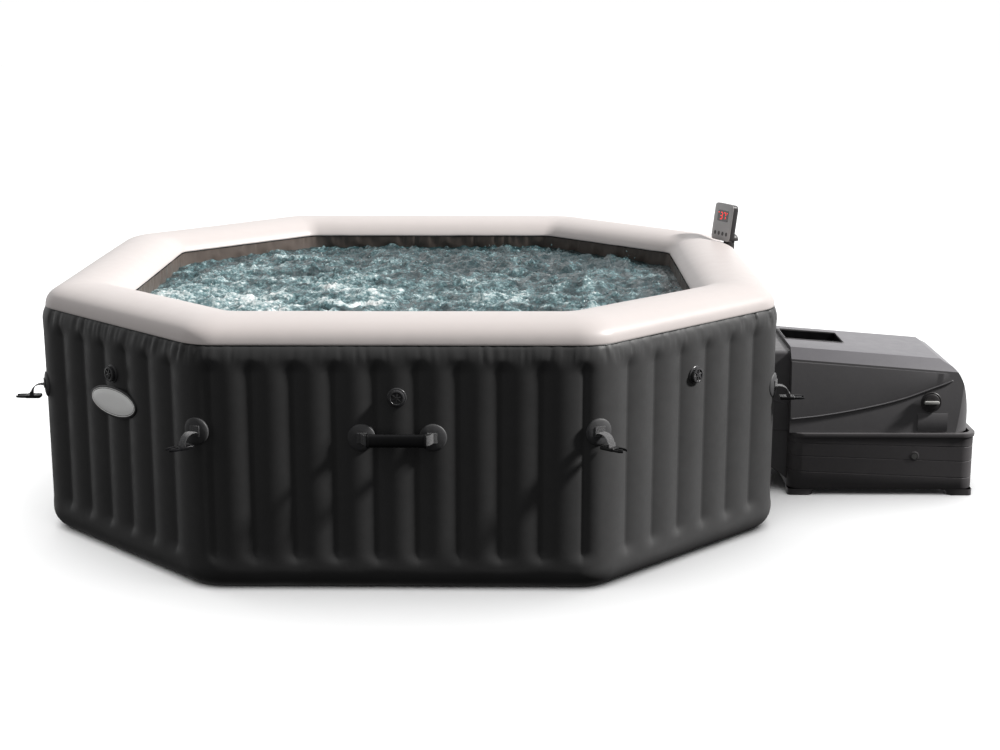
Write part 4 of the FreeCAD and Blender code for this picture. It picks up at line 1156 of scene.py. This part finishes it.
def digit(figure, cx, cy, w=0.0070, h=0.0115, t=0.0021):
    """The lit segments of a figure, slanted: half width w, half height h, thickness t."""
    lit = []
    for key in DIGITS[figure]:
        if key in "agd":
            y = cy + {"a": h, "g": 0.0, "d": -h}[key]
            shape = [(cx - w + t, y), (cx - w + 1.8 * t, y + t * 0.6), (cx + w - 1.8 * t, y + t * 0.6),
                     (cx + w - t, y), (cx + w - 1.8 * t, y - t * 0.6), (cx - w + 1.8 * t, y - t * 0.6)]
        else:
            x = cx + (w if key in "bc" else -w)
            low, high = (0, h) if key in "bf" else (-h, 0)
            low, high = cy + low, cy + high
            shape = [(x, low + 0.6 * t), (x + t * 0.6, low + 1.3 * t), (x + t * 0.6, high - 1.3 * t),
                     (x, high - 0.6 * t), (x - t * 0.6, high - 1.3 * t), (x - t * 0.6, low + 1.3 * t)]
        lit.append(on_face(prism_mesh([(a + 0.06 * (b - cy), b) for a, b in shape], 0.0006), 0.0012))
    return lit


def make_panel():
    half_w, half_h = 0.058, 0.064
    outer = rounded_rect(-half_w, half_w, -half_h, half_h, 0.014, 10)
    bezel = shifted(prism_mesh(outer, 0.0030, 0.0010, 3), z=-0.0022)
    holes = [shifted(prism_mesh(rounded_rect(-0.034, 0.034, 0.002, 0.040, 0.004, 5), 0.02), z=-0.01)]
    for x in BUTTONS:
        circle = [(x + 0.0074 * math.cos(math.tau * k / 40), BUTTON_ROW + 0.0074 * math.sin(math.tau * k / 40))
                  for k in range(40)]
        holes.append(shifted(prism_mesh(circle, 0.02), z=-0.01))
    bezel = on_face(boolean(bezel, holes, "DIFFERENCE"))
    obj = piece_from_mesh("panel_face", bezel, SILVER, "control_panel", 30)
    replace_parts(obj, "panel_bezel")
    window = prism_mesh(rounded_rect(-0.0338, 0.0338, 0.0022, 0.0398, 0.0038, 5), 0.0020, 0.0003, 1)
    window = shifted(window, z=-0.0008)
    glass = piece_from_mesh("panel_glass", on_face(window), GLASS, "control_panel", 30)
    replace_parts(glass, "display_window")
    figures = digit("3", -0.0105, 0.0210) + digit("7", 0.0105, 0.0210)
    piece_from_mesh("panel_digits", joined("digits", figures), DIGIT, "control_panel", 30)
    marks = [on_face(prism_mesh(rounded_rect(x - 0.002, x + 0.002, 0.030, 0.0335, 0.0012, 3), 0.0005), 0.0012)
             for x in (-0.028, 0.026)]
    piece_from_mesh("panel_marks", joined("marks", marks), DIGIT, "control_panel", 30)
    # housing: a shell that rounds off towards its back
    rows = []
    for inset, depth in ((0.0008, 0.0022), (0.0, 0.0034), (0.0, 0.0160), (0.0014, 0.0205), (0.0045, 0.0232),
                         (0.0090, 0.0240), (0.0300, 0.0240)):
        ring = rounded_rect(-half_w + inset, half_w - inset, -half_h + inset, half_h - inset,
                            max(0.004, 0.014 - inset * 0.5), 10)
        rows.append([FACE @ Vector((x, y, -depth)) for x, y in ring])
    shell = piece("panel_shell", *capped(rows), HOUSING, "control_panel", 35, "black_plastic")
    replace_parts(shell, "panel_housing")
    # two-part lug on the tilt pin
    lug = prism_mesh(rounded_rect(-0.0090, 0.0090, -0.0500, -0.0395, 0.002, 3), 0.0080, 0.0008, 2)
    lug.transform(FACE @ Matrix.Translation((0, 0, -0.0310)))
    piece_from_mesh("panel_lug", lug, HOUSING, "control_panel", 30)
    for number, x in enumerate(BUTTONS, 1):
        profile = [(0.0040, -0.0044), (0.0070, -0.0044), (0.0071, 0.0006), (0.0066, 0.0013), (0.0050, 0.0016),
                   (0.0020, 0.0013)]
        matrix = FACE @ Matrix.Translation((x, BUTTON_ROW, 0)) @ Matrix.Rotation(-math.pi / 2, 4, "Y")
        button = lathe("button_%d" % number, profile, matrix, HOUSING, "panel_button_%d" % number, 40)
        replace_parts(button, "panel_button_%d" % number)


# --- materials of the nodes that stay ------------------------------------------------------
KEPT = {
    "floor_liner": BATH, "bubble_channel": BATH, "drain_body": BLACK, "jet_housings": INNER,
    "hose_couplings": BLACK, "suction_strainers": INNER, "recess_grille": BLACK, "filter_housing": INNER,
    "filter_cartridge": PAPER, "circulation_pump": MOTOR, "jet_pump": MOTOR, "air_blower": BLACK,
    "water_heater": STEEL, "control_box": BLACK, "pipework": INNER, "cover_screws": STEEL,
    "cord_gland": BLACK, "panel_bracket": HOUSING, "drain_cap": VALVE, "filter_cap": INNER,
    "circulation_impeller": INNER, "jet_impeller": INNER, "blower_fan": INNER, "panel_neck": HOUSING,
}


def paint_kept():
    for name, obj in nodes.items():
        material = KEPT.get(name) or (INNER if name.startswith("jet_nozzle") else BLACK)
        obj.data.materials.clear()
        obj.data.materials.append(material)


# --- stage, light and camera ----------------------------------------------------------------
def make_stage():
    material = finish("studio_floor", (0.90, 0.90, 0.90), spread=0.008, scale=0.6, rough=(0.8, 0.85),
                      grain=0.02, grain_scale=60, Specular_IOR_Level=0.1)
    bm = bmesh.new()
    bmesh.ops.create_circle(bm, cap_ends=True, segments=96, radius=30)
    mesh = mesh_of(bm, "studio_floor")
    mesh.materials.append(material)
    floor = bpy.data.objects.new("studio_floor", mesh)
    floor.location.z = -0.0005
    bpy.context.scene.collection.objects.link(floor)
    return floor


def only_lights(light, obj, state):
    """Let a light reach just this object, or all but it."""
    group = bpy.data.collections.new(light.name + "_reach")
    group.objects.link(obj)
    light.light_linking.receiver_collection = group
    group.collection_objects[0].light_linking.link_state = state


def make_sun(name, energy, angle, towards, colour=(1, 1, 1)):
    sun = bpy.data.lights.new(name, "SUN")
    sun.energy, sun.angle, sun.color = energy, math.radians(angle), colour
    obj = bpy.data.objects.new(name, sun)
    obj.rotation_euler = Vector(towards).to_track_quat("Z", "Y").to_euler()
    bpy.context.scene.collection.objects.link(obj)
    return obj


# energy, angle in degrees, the way to the light, colour
KEY = (4.8, 7, (0.76, -0.06, 0.60), (1.0, 0.985, 0.965))
WASH = (3.4, 100, (0.02, -0.10, 1.0))
FILL = (0.62, 60, (-0.35, -1.0, 0.25))


def make_light(floor):
    world = bpy.data.worlds.new("studio")
    bpy.context.scene.world = world
    world.use_nodes = True
    n = Nodes(world.node_tree)
    background = world.node_tree.nodes["Background"]
    direction = n.add("ShaderNodeTexCoord").outputs["Generated"]
    split = n.add("ShaderNodeSeparateXYZ", Vector=direction).outputs
    # white behind the tub, dim behind the camera and below, a fill card on the left, light overhead
    behind = n.span(split["Y"], 0.10, 0.55, 0.0, 0.90)
    card = n.span(split["X"], -0.45, -0.90, 0.0, 0.22)
    above = n.span(split["Z"], 0.35, 0.90, 0.0, 0.22)
    level = n.math("ADD", n.math("MAXIMUM", behind, card), above)
    level = n.math("MULTIPLY", n.math("ADD", level, 0.11), n.span(split["Z"], -0.34, -0.12, 0.12, 1.0))
    # the backdrop itself is white from every side
    level = n.math("MAXIMUM", level, n.add("ShaderNodeLightPath").outputs["Is Camera Ray"])
    tint = n.ramp(n.math("MULTIPLY", level, 0.5), [(0.0, (0.0, 0.0, 0.0)), (1.0, (2.0, 2.0, 2.0))])
    n.link(tint, background.inputs["Color"])
    background.inputs["Strength"].default_value = 1.0
    key = make_sun("key", *KEY)
    only_lights(key, floor, "EXCLUDE")
    soft = make_sun("floor_wash", *WASH)
    only_lights(soft, floor, "INCLUDE")
    # a weak fill from the front for the pale pieces
    fill = make_sun("fill", *FILL)
    group = bpy.data.collections.new("fill_reach")
    for name in ("rim_chamber", "badge_face", "badge_ring"):
        group.objects.link(bpy.data.objects[name])
    fill.light_linking.receiver_collection = group
    floor.visible_diffuse = False
    floor.visible_glossy = False


CAMERA_PLACE = (0.307, -5.406, 1.599)
CAMERA_DOWN, CAMERA_LEFT = 13.01, 0.46       # degrees
LENS, SENSOR = 60.75, 36.0                   # millimetres


def make_camera():
    camera = bpy.data.cameras.new("camera")
    camera.lens, camera.sensor_width = LENS, SENSOR
    camera.clip_end = 200.0
    obj = bpy.data.objects.new("camera", camera)
    obj.location = CAMERA_PLACE
    obj.rotation_euler = (math.radians(90 - CAMERA_DOWN), 0, math.radians(CAMERA_LEFT))
    bpy.context.scene.collection.objects.link(obj)
    bpy.context.scene.camera = obj


paint_kept()
make_wall()
make_webs()
make_rim()
make_bath()
make_water()
make_valves()
make_clips()
make_handle()
make_badge()
make_cover()
make_tray()
make_hood()
make_knob()
make_panel()
make_light(make_stage())
make_camera()
bpy.context.scene.view_settings.view_transform = "Standard"
